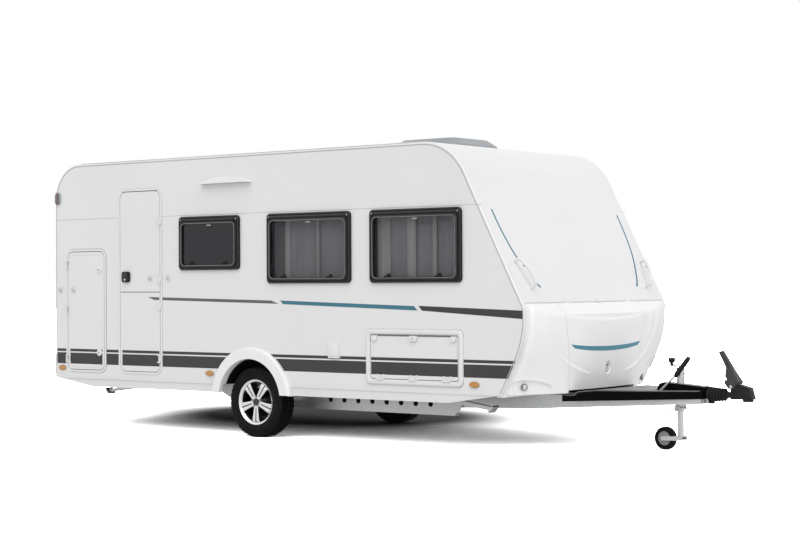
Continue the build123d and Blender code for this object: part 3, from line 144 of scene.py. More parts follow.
def paint(name, base, spread, rough, coat=0.0, peel=0.04, grain=260.0, shine=0.5):
    """A painted or moulded surface: slow colour drift, fine surface texture."""
    m = Maker(name)
    slow = m.noise(1.1, 2.0)
    m.color(m.ramp(slow, [(0.3, times(base, 1 - spread)), (0.7, times(base, 1 + spread))]))
    fine = m.noise(grain, 2.0)
    m.rough(fine, *rough)
    m.bump(fine, peel, 0.0004)
    m.set(Coat_Weight=coat, Coat_Roughness=0.12, Specular_IOR_Level=shine)
    return m.material


def metal(name, base, rough, grain, blotch=0.12, bump=0.05):
    """Bare or galvanised metal with spangles."""
    m = Maker(name)
    spots = m.noise(grain)
    m.color(m.ramp(spots, [(0.35, times(base, 1 - blotch)), (0.65, base)]))
    m.rough(spots, *rough)
    m.bump(spots, bump, 0.0005)
    m.set(Metallic=0.9)
    return m.material


def clear(name, base, alpha, rough=0.04):
    """See-through tinted plastic."""
    m = Maker(name)
    haze = m.noise(3.0, 2.0)
    m.color(m.ramp(haze, [(0.3, times(base, 0.9)), (0.7, base)]))
    m.rough(haze, rough, rough * 1.6)
    m.set(Alpha=alpha, Coat_Weight=0.12, Coat_Roughness=0.03, IOR=1.49, Specular_IOR_Level=0.36)
    return m.material


def lens(name, base):
    """A coloured lamp lens with moulded ribs inside."""
    m = Maker(name)
    wave = m.node("ShaderNodeTexWave", Scale=42.0, Distortion=0.4)
    m.link(m.place(), wave.inputs["Vector"])
    m.color(m.ramp(wave.outputs["Fac"], [(0.2, times(base, 0.72)), (0.8, base)]))
    m.bump(wave.outputs["Fac"], 0.15, 0.0008)
    m.set(Roughness=0.12, Coat_Weight=0.6, Coat_Roughness=0.04)
    return m.material


def cloth(name, base, alpha):
    """Woven net."""
    m = Maker(name)
    weave = m.noise(140.0, 2.0, (1, 1, 0.3))
    slow = m.noise(6.0, 3.0, (1, 1, 0.15))
    m.color(m.ramp(slow, [(0.3, times(base, 0.78)), (0.7, base)]))
    m.bump(weave, 0.15, 0.0003)
    m.set(Roughness=0.85, Sheen_Weight=0.3, Alpha=alpha)
    return m.material


def tyre_material():
    """Sidewall rubber: dusty black with fine moulded rings."""
    m = Maker("tyre_rubber")
    dust = m.noise(9.0, 4.0)
    m.color(m.ramp(dust, [(0.3, grey(0.003)), (0.75, grey(0.008))]))
    fine = m.noise(500.0, 2.0)
    m.rough(fine, 0.55, 0.75)
    m.bump(fine, 0.2, 0.0005)
    m.set(Specular_IOR_Level=0.13)
    return m.material


MAT = {
    "body": paint("body_white", grey(0.80), 0.012, (0.2, 0.3), coat=0.35, peel=0.03),
    "front": paint("front_white", (0.82, 0.82, 0.825), 0.012, (0.22, 0.3), coat=0.3, peel=0.03),
    # a brighter copy of the white paint for the moulded front: painted light that makes up for its tilt away
    # from the lights
    "skin": paint("moulded_white", (0.905, 0.905, 0.91), 0.010, (0.22, 0.3), coat=0.3, peel=0.03),
    # a brighter copy of the white trim for the wheel arch trims and the awning lamp: painted light
    "arch": paint("brightened_arch_white", grey(0.87), 0.02, (0.3, 0.42), coat=0.15, peel=0.08, grain=420),
    "cover": paint("cover_black", (0.0028, 0.0028, 0.0030), 0.2, (0.26, 0.36), peel=0.05, grain=600,
                   shine=0.04),
    # lighter grey for the drawbar cover's upward faces: a painted sheen on the black cover
    "cover_sheen_top": paint("cover_sheen_top_grey", (0.060, 0.061, 0.063), 0.2, (0.22, 0.34), coat=0.1, peel=0.05,
                       grain=600),
    "trim": paint("trim_white", grey(0.78), 0.03, (0.3, 0.42), coat=0.15, peel=0.08, grain=420),
    # mid grey for the side walls' edge bead, lock parts and the awning lamp's strip, and for painted shadow
    # lines along the entrance's and locker's frames and in the entrance leaf's joint
    "edge": paint("edge_grey", (0.42, 0.43, 0.43), 0.05, (0.3, 0.4), coat=0.1, peel=0.05),
    "black": paint("black_plastic", (0.011, 0.011, 0.0115), 0.2, (0.36, 0.5), peel=0.22, grain=600,
                   shine=0.22),
    "black_gloss": paint("black_gloss", (0.028, 0.028, 0.029), 0.15, (0.25, 0.35), peel=0.05, shine=0.35),
    "frame_black": paint("window_frame_black", grey(0.008), 0.15, (0.25, 0.35), peel=0.05, shine=0.20),
    # near-black rubber for seals, stays, keys, valve and lug, and for painted shade along the entrance leaf's
    # top and behind the vents' slats
    "seal": paint("seal_rubber_and_shade", grey(0.014), 0.2, (0.6, 0.75), peel=0.2, shine=0.15),
    "joint": paint("joint_shadow_grey", grey(0.20), 0.05, (0.6, 0.75), shine=0.2),
    # near-black for the wheel wells and the locker's tray, and for painted shade behind the rails' holes
    "well": paint("wheel_well_black", grey(0.006), 0.2, (0.7, 0.85), peel=0.3, shine=0.08),
    "charcoal": paint("charcoal_vinyl", (0.046, 0.0465, 0.048), 0.05, (0.36, 0.44), peel=0.02, shine=0.3),
    "teal": paint("teal_vinyl", (0.055, 0.185, 0.245), 0.05, (0.32, 0.4), peel=0.02, shine=0.3),
    "cast": paint("coupling_grey", (0.030, 0.031, 0.033), 0.2, (0.38, 0.52), peel=0.3, grain=500, shine=0.4),
    "underside": paint("underside_board", (0.016, 0.015, 0.014), 0.25, (0.7, 0.9), peel=0.4, grain=120,
                       shine=0.2),
    "galv": metal("galvanised", (0.62, 0.63, 0.64), (0.34, 0.52), grain=70),
    "zinc": metal("zinc_plated", (0.66, 0.66, 0.65), (0.2, 0.32), grain=160),
    "alloy": metal("machined_alloy", (0.84, 0.85, 0.87), (0.16, 0.26), grain=220, blotch=0.05, bump=0.02),
    "alloy_dark": paint("alloy_pocket_black", (0.007, 0.007, 0.008), 0.1, (0.4, 0.5), shine=0.2),
    "chrome": metal("bright_metal", grey(0.8), (0.08, 0.14), grain=60, blotch=0.03, bump=0.01),
    "pane": clear("tinted_pane", (0.013, 0.015, 0.021), 0.29),
    # near-opaque dark tint for the small panes: painted shade of the cabin behind them
    "shaded_cabin_pane": clear("shaded_cabin_pane_tint", (0.009, 0.010, 0.014), 0.94),
    "dome": clear("smoked_dome", (0.44, 0.47, 0.50), 0.72, 0.12),
    "amber": lens("amber_lens", (0.62, 0.30, 0.07)),
    "red": lens("red_lens", (0.50, 0.012, 0.012)),
    "red_soft": lens("red_grey_lens", (0.22, 0.105, 0.095)),
    "white_lens": lens("white_lens", (0.72, 0.73, 0.74)),
    "net": cloth("net_curtain", (0.645, 0.655, 0.68), 0.74),
    "hem": cloth("net_hem", (0.80, 0.80, 0.81), 0.90),
    "dim_net": cloth("shaded_net", (0.27, 0.275, 0.285), 0.80),
    "dark_inside": paint("cabin_lining", (0.16, 0.155, 0.15), 0.1, (0.6, 0.8)),
    "charcoal_light": paint("charcoal_light_vinyl", (0.105, 0.106, 0.108), 0.05, (0.34, 0.42), coat=0.1,
                            peel=0.02),
    # light grey for the wall seams and the rear seam, and for painted shade in the gaps round the locker's
    # and cassette flap's leaves
    "seam_light": paint("seam_and_gap_shade_grey", grey(0.50), 0.04, (0.5, 0.7)),
    # soft grey for bezels, screws, latches and seam strips, and for painted shade on the door catches
    "edge_soft": paint("soft_grey", grey(0.58), 0.04, (0.35, 0.5)),
    # light grey for thin lines along the panes' edges: painted glints
    "bevel_glint": paint("pane_glint_grey", (0.30, 0.305, 0.31), 0.1, (0.12, 0.2), coat=0.5, peel=0.02),
    "teal_bright": paint("teal_band", (0.050, 0.240, 0.330), 0.06, (0.28, 0.36), coat=0.1, peel=0.02,
                         shine=0.4),
    # lighter grey for beads along the drawbar cover's upper edges: painted highlights
    "cover_edge": paint("cover_bead_highlight_grey", (0.085, 0.086, 0.088), 0.15, (0.25, 0.36), coat=0.1, peel=0.05,
                        grain=600),
    "smoked_lens": paint("smoked_lens_grey", (0.10, 0.10, 0.105), 0.2, (0.12, 0.2), coat=0.5, peel=0.02),
    # light grey for the front lamps' bodies, and for the painted glint along the window rails
    "cast_light": paint("cap_grey", (0.16, 0.165, 0.17), 0.1, (0.25, 0.35), coat=0.3, peel=0.1),
    "roller_grey": paint("roller_grey", (0.29, 0.295, 0.30), 0.08, (0.4, 0.55), coat=0.05, peel=0.2),
    "tyre": tyre_material(),
}


# ---- mesh helpers --------------------------------------------------------------------------------
def shade(obj, angle=35.0):
    """Smooth shading that keeps edges sharper than the angle."""
    for polygon in obj.data.polygons:
        polygon.use_smooth = True
    bm = bmesh.new()
    bm.from_mesh(obj.data)
    limit = math.radians(angle)
    for edge in bm.edges:
        edge.smooth = len(edge.link_faces) == 2 and edge.calc_face_angle(0.0) < limit
    bm.to_mesh(obj.data)
    bm.free()


def piece(name, verts, faces, material, body="caravan", angle=35.0, slot=None):
    """A mesh piece that rides on a body."""
    mesh = bpy.data.meshes.new(name)
    mesh.from_pydata([tuple(v) for v in verts], [], faces)
    mesh.validate()
    obj = bpy.data.objects.new(name, mesh)
    bpy.context.scene.collection.objects.link(obj)
    bm = bmesh.new()
    bm.from_mesh(mesh)
    bmesh.ops.recalc_face_normals(bm, faces=bm.faces)
    bm.to_mesh(mesh)
    bm.free()
    mesh.materials.append(MAT[material])
    shade(obj, angle)
    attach(obj, body)
    return obj


def merged(parts):
    """Joins (verts, faces) pairs into one pair."""
    verts, faces = [], []
    for part_verts, part_faces in parts:
        base = len(verts)
        verts += [Vector(v) for v in part_verts]
        faces += [tuple(base + i for i in f) for f in part_faces]
    return verts, faces


def prism(outline, lift):
    """A closed prism over an outline of 3-D points, lifted along a vector."""
    n = len(outline)
    lift = Vector(lift)
    verts = [Vector(p) for p in outline] + [Vector(p) + lift for p in outline]
    faces = [tuple(range(n)), tuple(range(2 * n - 1, n - 1, -1))]
    faces += [(i, (i + 1) % n, n + (i + 1) % n, n + i) for i in range(n)]
    return verts, faces


def rings(loops, closed_loop=False):
    """Skins a list of equally long closed loops, with caps unless the list closes on itself."""
    n = len(loops[0])
    verts = [Vector(p) for loop in loops for p in loop]
    faces = []
    count = len(loops)
    for k in range(count if closed_loop else count - 1):
        a, b = k * n, ((k + 1) % count) * n
        faces += [(a + i, a + (i + 1) % n, b + (i + 1) % n, b + i) for i in range(n)]
    if not closed_loop:
        faces.append(tuple(range(n - 1, -1, -1)))
        faces.append(tuple((count - 1) * n + i for i in range(n)))
    return verts, faces


def lathe(profile, centre, axis, steps=64):
    """Spins a closed profile of (along, radius) points about an axis through a centre."""
    axis = Vector(axis).normalized()
    side = axis.orthogonal().normalized()
    other = axis.cross(side)
    closed = profile[0][1] > 1e-6 or profile[-1][1] > 1e-6
    verts, faces = [], []
    for k in range(steps):
        turn = 2 * math.pi * k / steps
        out = side * math.cos(turn) + other * math.sin(turn)
        verts += [Vector(centre) + axis * along + out * max(radius, 1e-5) for along, radius in profile]
    n = len(profile)
    for k in range(steps):
        a, b = k * n, ((k + 1) % steps) * n
        for i in range(n if closed else n - 1):
            j = (i + 1) % n
            faces.append((a + i, b + i, b + j, a + j))
    return verts, faces


def round_points(half_width, half_height, radius, steps=6):
    """A rounded rectangle about the origin, anticlockwise."""
    points = []
    for cx, cy, start in ((1, 1, 0), (-1, 1, 90), (-1, -1, 180), (1, -1, 270)):
        for k in range(steps + 1):
            turn = math.radians(start + 90 * k / steps)
            points.append((cx * (half_width - radius) + radius * math.cos(turn),
                           cy * (half_height - radius) + radius * math.sin(turn)))
    return points


def tube_along(points, radius, steps=12):
    """A round bar along a list of points; radius may be a list."""
    points = [Vector(p) for p in points]
    radii = radius if isinstance(radius, (list, tuple)) else [radius] * len(points)
    loops = []
    reference = None
    for k, point in enumerate(points):
        before, after = points[max(k - 1, 0)], points[min(k + 1, len(points) - 1)]
        way = (after - before).normalized()
        if reference is None:
            reference = way.orthogonal().normalized()
        side = (reference - way * reference.dot(way)).normalized()
        reference = side
        other = way.cross(side)
        turns = [2 * math.pi * i / steps for i in range(steps)]
        loops.append([point + (side * math.cos(t) + other * math.sin(t)) * radii[k] for t in turns])
    return rings(loops)


def turned(name, profile, centre, axis, steps, material, body="caravan", slot=None):
    """A lathed piece."""
    return piece(name, *lathe(profile, centre, axis, steps), material, body, slot=slot)


# ---- carried-over nodes --------------------------------------------------------------------------
FINISH = {
    "side_wall_right": "body", "side_wall_left": "body", "rear_wall": "front", "roof": "front",
    "front_panel": "front", "floor": "underside", "wheel_wells": "well", "locker_bulkhead": "dark_inside",
    "front_moulding": "skin", "gas_locker_lid": "skin", "door_frames": "body", "hinge_brackets": "trim",
    "entrance_door_upper": "body", "entrance_door_lower": "body", "entrance_handle": "black",
    "service_door": "body", "service_locks": "trim", "storage_flap": "body", "flap_latches": "trim",
    "cassette_flap": "body", "window_frames": "frame_black", "window_panes": "pane", "curtains": "net",
    "wheel_arch_trims": "arch", "side_skirts": "trim", "awning_lamp": "arch", "grab_handles": "trim",
    "side_fittings": "trim", "side_markers": "amber", "roof_vent_frames": "trim", "roof_hatch_dome": "dome",
    "roof_vent_dome": "dome", "rear_bumper": "trim", "rear_lamps": "red", "chassis_rails": "galv",
    "drawbar": "galv", "axle_tube": "galv", "trailing_arms": "galv", "tyre_right": "tyre",
    "tyre_left": "tyre", "wheel_right": "alloy", "wheel_left": "alloy", "overrun_housing": "cast",
    "shaft_gaiter": "seal", "coupling_head": "black", "stabiliser_lever": "cast", "drawbar_cover": "cover",
    "handbrake_lever": "zinc", "jockey_tube": "zinc", "jockey_leg": "zinc", "jockey_fork": "zinc",
    "jockey_wheel": "tyre", "steady_brackets": "galv", "steady_front_right": "galv",
    "steady_front_left": "galv", "steady_rear_right": "galv", "steady_rear_left": "galv",
}


def dress():
    """Gives each CAD node its material."""
    for node, finish in FINISH.items():
        mesh = NODES[node].data
        mesh.materials.clear()
        mesh.materials.append(MAT[finish])
        for polygon in mesh.polygons:
            polygon.use_smooth = False


def second_finish(mesh, finish, chosen):
    """Another material on the polygons that chosen picks."""
    mesh.materials.append(MAT[finish])
    for polygon in mesh.polygons:
        if chosen(polygon):
            polygon.material_index = len(mesh.materials) - 1


def pane_over_cabin_shade(polygon):
    """Whether a side window is one of the small ones, which have no curtain behind them and get a near-opaque
    dark pane that paints the shade of the cabin behind.
    """
    station, y = polygon.center.x - REAR, polygon.center.y
    return abs(y) > 1.0 and (station < 1.0 or (y < 0 and station < 2.4))


dress()
# the drawbar cover's upward faces get a lighter grey: painted sheen
second_finish(NODES["drawbar_cover"].data, "cover_sheen_top", lambda polygon: polygon.normal.z > 0.7)
second_finish(NODES["rear_lamps"].data, "edge",
              lambda polygon: polygon.center.z > 1.9 and abs(polygon.center.y) > 0.9)
second_finish(NODES["window_panes"].data, "shaded_cabin_pane", pane_over_cabin_shade)


# ---- stripes and seams ---------------------------------------------------------------------------
THICK_BAND = (0.572, 0.672)                     # low and high edge
THIN_BAND = (0.684, 0.708)
ARCH_CENTRE = (WHEEL_X - REAR, 0.315)           # station and height
ARCH_TUCK = 0.385                               # stripes end under the arch trim, this far from its centre
BAND_START = 0.022                              # station of the bands' rear end
BAND_NOSE = (5.060, 0.560, 0.5)                 # station and height on the bands' front end, and its slant
# Stations between which an opening's frame interrupts the bands, and those of the leaf inside it.
SERVICE_GAP, SERVICE_LEAF = (0.152, 0.684), (0.204, 0.634)
ENTRANCE_GAP, ENTRANCE_LEAF = (0.846, 1.400), (0.894, 1.364)
LOCKER_GAP, LOCKER_LEAF = (3.702, 4.656), (3.752, 4.604)
CASSETTE_GAP, CASSETTE_LEAF = (0.438, 0.892), (0.478, 0.852)
BAND_LEAVES = (("service", SERVICE_LEAF, -1, "service_hatch"),
               ("entrance", ENTRANCE_LEAF, -1, "entrance_lower"), ("locker", LOCKER_LEAF, -1, "storage_lid"),
               ("cassette", CASSETTE_LEAF, 1, "cassette_lid"))


def vinyl(name, outlines, material, side, body="caravan", lift=0.0, thickness=STICKER):
    """Flat shapes stuck on a side wall or a leaf; outlines are lists of (station, height)."""
    y = side * (WALL_Y + lift)
    parts = [prism([(X(s), y, z) for s, z in outline], (0, side * thickness, 0)) for outline in outlines]
    return piece(name, *merged(parts), material, body)


def band_piece(low, high, start, end):
    """A stretch of a band. A slanting end is given by its stations at the low and at the high edge."""
    a, b = (place if isinstance(place, tuple) else (place, place) for place in (start, end))
    return [(a[0], low), (b[0], low), (b[1], high), (a[1], high)]


def arch_ends(low, high):
    """Stations where a band dips under the wheel arch trim, at its low and high edges."""
    reach = [math.sqrt(max(ARCH_TUCK ** 2 - (z - ARCH_CENTRE[1]) ** 2, 0.03 ** 2)) for z in (low, high)]
    return [(ARCH_CENTRE[0] + way * reach[0], ARCH_CENTRE[0] + way * reach[1]) for way in (-1, 1)]


def nose_end(low, high):
    """Where a band ends at the front, on one slanting line."""
    station, height, slant = BAND_NOSE
    return tuple(station + slant * (z - height) for z in (low, high))


def lower_bands():
    """The two charcoal bands along each side, interrupted at the openings."""
    for (low, high), label in ((THICK_BAND, "wide"), (THIN_BAND, "narrow")):
        arch_rear, arch_front = arch_ends(low, high)
        nose = nose_end(low, high)
        for side_name, side in SIDES.items():
            spans = []
            start = BAND_START
            for gap_start, gap_end in (SERVICE_GAP, ENTRANCE_GAP) if side < 0 else (CASSETTE_GAP,):
                spans.append(band_piece(low, high, start, gap_start))
                start = gap_end
            spans.append(band_piece(low, high, start, arch_rear))
            if side < 0:
                spans.append(band_piece(low, high, arch_front, LOCKER_GAP[0]))
                spans.append(band_piece(low, high, LOCKER_GAP[1], nose))
            else:
                spans.append(band_piece(low, high, arch_front, nose))
            vinyl(f"stripe_{label}_{side_name}", spans, "charcoal", side)
        for leaf_name, leaf, side, body in BAND_LEAVES:
            vinyl(f"stripe_{label}_{leaf_name}", [band_piece(low, high, *leaf)], "charcoal", side, body, LEAF)


# Middle stripe: top and bottom edges as (station, height), rear to front.
MIDDLE = [
    ("rear", "charcoal_light", [(1.220, 1.183), (2.680, 1.155)], [(1.300, 1.157), (2.760, 1.128)]),
    ("teal", "teal", [(2.780, 1.155), (4.180, 1.115)], [(2.812, 1.125), (4.215, 1.080)]),
    ("front", "charcoal", [(4.222, 1.117), (5.206, 1.085)], [(4.258, 1.079), (5.206, 1.022)]),
]


def height_on(line, station):
    """Height on a line of two (station, height) points."""
    (s0, z0), (s1, z1) = line
    return z0 + (z1 - z0) * (station - s0) / (s1 - s0)


def middle_stripes():
    """The stripe under the windows in its three colours."""
    leaf_end, frame_end = ENTRANCE_LEAF[1], ENTRANCE_GAP[1]
    for label, material, top, bottom in MIDDLE:
        for side_name, side in SIDES.items():
            if side < 0 and label == "rear":
                on_leaf = [top[0], (leaf_end, height_on(top, leaf_end)),
                           (leaf_end, height_on(bottom, leaf_end)), bottom[0]]
                vinyl("stripe_middle_entrance", [on_leaf], material, side, "entrance_lower", LEAF)
                on_wall = [(frame_end, height_on(top, frame_end)), top[1], bottom[1],
                           (frame_end, height_on(bottom, frame_end))]
                vinyl("stripe_middle_rear_right", [on_wall], material, side)
            else:
                vinyl(f"stripe_middle_{label}_{side_name}", [[top[0], top[1], bottom[1], bottom[0]]],
                      material, side)


# Outline of the side walls, as (station, height, corner radius).
WALL_CORNERS = [(0.0, 0.440, 0), (0.0, 2.395, 0.320), (4.549, 2.395, 0.460), (5.215, 1.107, 0.140),
                (5.215, 0.865, 0.750), (4.996, 0.440, 0)]


def rounded_line(corners, steps=10):
    """Points along a line through corners with radii."""
    points = [Vector(corners[0][:2])]
    for (s0, z0, _), (s1, z1, radius), (s2, z2, _) in zip(corners, corners[1:], corners[2:]):
        corner = Vector((s1, z1))
        before = (Vector((s0, z0)) - corner).normalized()
        after = (Vector((s2, z2)) - corner).normalized()
        half = before.angle(after) / 2
        middle = corner + (before + after).normalized() * (radius / math.sin(half))
        start = corner + before * (radius / math.tan(half)) - middle
        sweep = math.pi - 2 * half
        way = 1 if start.cross(corner + after * (radius / math.tan(half)) - middle) > 0 else -1
        for k in range(steps + 1):
            turn = way * sweep * k / steps
            points.append(middle + Vector((start.x * math.cos(turn) - start.y * math.sin(turn),
                                           start.x * math.sin(turn) + start.y * math.cos(turn))))
    points.append(Vector(corners[-1][:2]))
    return points


def offset_line(points, inset):
    """A line moved to its right-hand side."""
    moved = []
    for k, point in enumerate(points):
        way = (points[min(k + 1, len(points) - 1)] - points[max(k - 1, 0)]).normalized()
        moved.append(point + Vector((way.y, -way.x)) * inset)
    return moved


def ribbon(name, line, width, material, side, thickness):
    """A flat strip of even width along a line of (station, height) on a side wall."""
    y0, y1 = side * WALL_Y, side * (WALL_Y + thickness)
    loops = [[(X(a.x), y0, a.y), (X(b.x), y0, b.y), (X(b.x), y1, b.y), (X(a.x), y1, a.y)]
             for a, b in zip(offset_line(line, width / 2), offset_line(line, -width / 2))]
    return piece(name, *rings(loops), material)


BEAD_INSETS = (0.009, 0.021)                    # the edge bead's inset, below and above the front's corner
BEAD_SHIFT = (0.95, 1.35)                       # heights between which it changes over
WALL_SEAM_Z = 1.890
WALL_SEAM_ENDS = (0.024, 4.826)


def wall_lines():
    """The bead along the side walls' edge and the seam across them."""
    outline = rounded_line(WALL_CORNERS)
    low_line, high_line = (offset_line(outline, inset) for inset in BEAD_INSETS)
    start, end = WALL_SEAM_ENDS
    for side_name, side in SIDES.items():
        bead = [low.lerp(high, smooth_step(*BEAD_SHIFT, low.y)) for low, high in zip(low_line, high_line)]
        ribbon(f"edge_bead_{side_name}", bead, 0.006, "edge", side, 0.0022)
        spans = [(start, ENTRANCE_GAP[0]), (ENTRANCE_GAP[1], end)] if side < 0 else [(start, end)]
        for k, span in enumerate(spans):
            seam = [Vector((s, WALL_SEAM_Z)) for s in span]
            ribbon(f"wall_seam_{side_name}_{k}", seam, 0.004, "seam_light", side, 0.0008)


# ---- openings: seals, rims and door furniture ----------------------------------------------------
def rect_line(s0, s1, z0, z1, radius, steps=6):
    """A rounded rectangle on a side wall."""
    cx, cz = (s0 + s1) / 2, (z0 + z1) / 2
    return [Vector((cx + a, cz + b)) for a, b in round_points((s1 - s0) / 2, (z1 - z0) / 2, radius, steps)]


# Sections across a strip or a boss, from its foot over its top.
HALF_ROUND = ((-0.5, 0.0), (-0.32, 0.8), (0.0, 1.0), (0.32, 0.8), (0.5, 0.0))
BOSS = ((0, 0), (0, 1.0), (0.6, 1.0), (0.9, 0.93), (1.0, 0.8), (1.0, 0))


def closed_ribbon(name, line, width, material, side, body="caravan", lift=0.0, thickness=0.0012):
    """A strip round a closed line, with a half-round section."""
    loops = []
    for k, point in enumerate(line):
        way = (line[(k + 1) % len(line)] - line[k - 1]).normalized()
        out = Vector((way.y, -way.x))
        loop = []
        for across, rise in HALF_ROUND:
            spot = point + out * across * width
            loop.append((X(spot.x), side * (WALL_Y + lift + rise * thickness), spot.y))
        loops.append(loop)
    return piece(name, *rings(loops, closed_loop=True), material, body, angle=50)


def disc_on_wall(s, z, radius, y0, y1, side, steps=40):
    """A round boss on a side wall, with a softened rim."""
    return lathe([(a * (y1 - y0), r * radius) for a, r in BOSS], (X(s), side * y0, z), (0, side, 0), steps)


def block_on_wall(s0, s1, z0, z1, radius, y0, y1, side, soft=0.003):
    """A rounded block on a side wall with softened outer edges."""
    loops = []
    for inset, depth in ((0, 0), (0, 0.65), (soft * 0.35, 0.9), (soft, 1.0)):
        y = side * (y0 + (y1 - y0) * depth)
        loops.append([(X(p.x), y, p.y)
                      for p in rect_line(s0 + inset, s1 - inset, z0 + inset, z1 - inset,
                                         max(radius - inset, 0.001), 5)])
    return rings(loops)


# Beads on the frames, some of them painted shadow lines along the frames' outer edges: area with its corner
# radius, width, finish, side, body, lift and thickness.
FRAME_BEADS = {
    "service_inner_rim": ((0.198, 0.640, 0.548, 1.566, 0.042), 0.006, "trim", -1, "service_hatch", LEAF,
                          0.003),
    "entrance_frame_shadow_line": ((0.8455, 1.3985, 0.4975, 2.1425, 0.090), 0.005, "edge", -1, "caravan", 0, 0.0012),
    "service_frame_shadow_line": ((0.1515, 0.6825, 0.4975, 1.6175, 0.080), 0.006, "joint", -1, "caravan", 0, 0.0014),
    "locker_frame_shadow_line": ((3.7015, 4.6545, 0.4935, 0.9325, 0.040), 0.004, "edge", -1, "caravan", 0, 0.001),
    "cassette_frame_bead": ((0.448, 0.882, 0.538, 0.952, 0.034), 0.008, "trim", 1, "caravan", LEAF, 0.004),
}
# The locker frame's rounded rim: (inset, rise) across it.
RIM_SECTION = ((0.0, 0.0), (0.001, 0.008), (0.006, 0.0125), (0.014, 0.014), (0.030, 0.0135), (0.036, 0.010),
               (0.038, 0.001))
# Grey strips in the joints round the leaves, painting the shade in the gaps: area with its corner radius,
# finish and side.
LEAF_JOINTS = {
    "entrance": ((0.866, 1.378, 0.518, 2.122, 0.07), "edge", -1),
    "service": ((0.172, 0.662, 0.518, 1.597, 0.06), "joint", -1),
    "locker": ((3.744, 4.612, 0.536, 0.890, 0.024), "seam_light", -1),
    "cassette": ((0.470, 0.860, 0.560, 0.930, 0.024), "seam_light", 1),
}
LOCKER_RIM = (3.7035, 4.6525, 0.4955, 0.9305, 0.040)
ENTRANCE_TOP_SHADE = (2.1175, 2.1225)                   # dark strip in the joint over the entrance's upper leaf: painted shade at its top
LOCKER_TOP_SHADE = (0.876, 0.884)                   # dark strip along the locker leaf's top: painted shade
LOCKER_TOP_SHADE_ENDS = ((3.816, 4.136), (4.220, 4.540))
JOINT_INSET = 0.0025                            # from a leaf's edge to the middle of its joint


def opening_lines():
    """Beads and rims on the frames, painted shadow lines along three frames' outer edges and in the joints
    round the leaves, and darker painted shade along two leaves' tops.
    """
    for name, (area, width, finish, side, body, lift, thickness) in FRAME_BEADS.items():
        closed_ribbon(name, rect_line(*area), width, finish, side, body, lift, thickness)
    s0, s1, z0, z1, corner = LOCKER_RIM
    rim = []
    for inset, rise in RIM_SECTION:
        line = rect_line(s0 + inset, s1 - inset, z0 + inset, z1 - inset, corner - 0.6 * inset)
        rim.append([(X(p.x), -(WALL_Y + LEAF + rise), p.y) for p in line])
    piece("locker_frame_rim", *rings(rim, closed_loop=True), "trim", angle=50)
    # grey strips in the gaps round the leaves: painted shade
    for label, ((s0, s1, z0, z1, radius), finish, side) in LEAF_JOINTS.items():
        line = rect_line(s0 + JOINT_INSET, s1 - JOINT_INSET, z0 + JOINT_INSET, z1 - JOINT_INSET, radius)
        closed_ribbon(f"seal_{label}", line, 0.0046, finish, side, lift=-0.004, thickness=0.006)
    # darker strips along the entrance's and the locker's leaf tops: painted shade
    bar = band_piece(*ENTRANCE_TOP_SHADE, 0.900, 1.340)
    vinyl("entrance_top_shade", [bar], "seal", -1, lift=LEAF - 0.002, thickness=0.0022)
    for k, ends in enumerate(LOCKER_TOP_SHADE_ENDS):
        vinyl(f"locker_top_shade_{k}", [band_piece(*LOCKER_TOP_SHADE, *ends)], "joint", -1, "storage_lid", LEAF)


SERVICE_LOCKS = (0.600, (1.430, 0.680))         # their station, and their heights
LATCHES = (3.790, 4.178, 4.566)                 # stations of the storage flap's latches
# Door catches: station, height, body and the face that they stand on.
CATCHES = ((0.262, 1.250, "service_hatch", WALL_Y + LEAF), (1.260, 1.350, "entrance_upper", WALL_Y + LEAF),
           (1.480, 1.350, "caravan", WALL_Y), (0.082, 1.250, "caravan", WALL_Y))
VENT_FEET = {"low": 0.620, "high": 1.180}       # low edges of the left side's vents
SLATS, SLAT_PITCH = 9, 0.022
CASSETTE_LOCKS = ((0.520, 0.810), 0.895)        # their stations, and their height


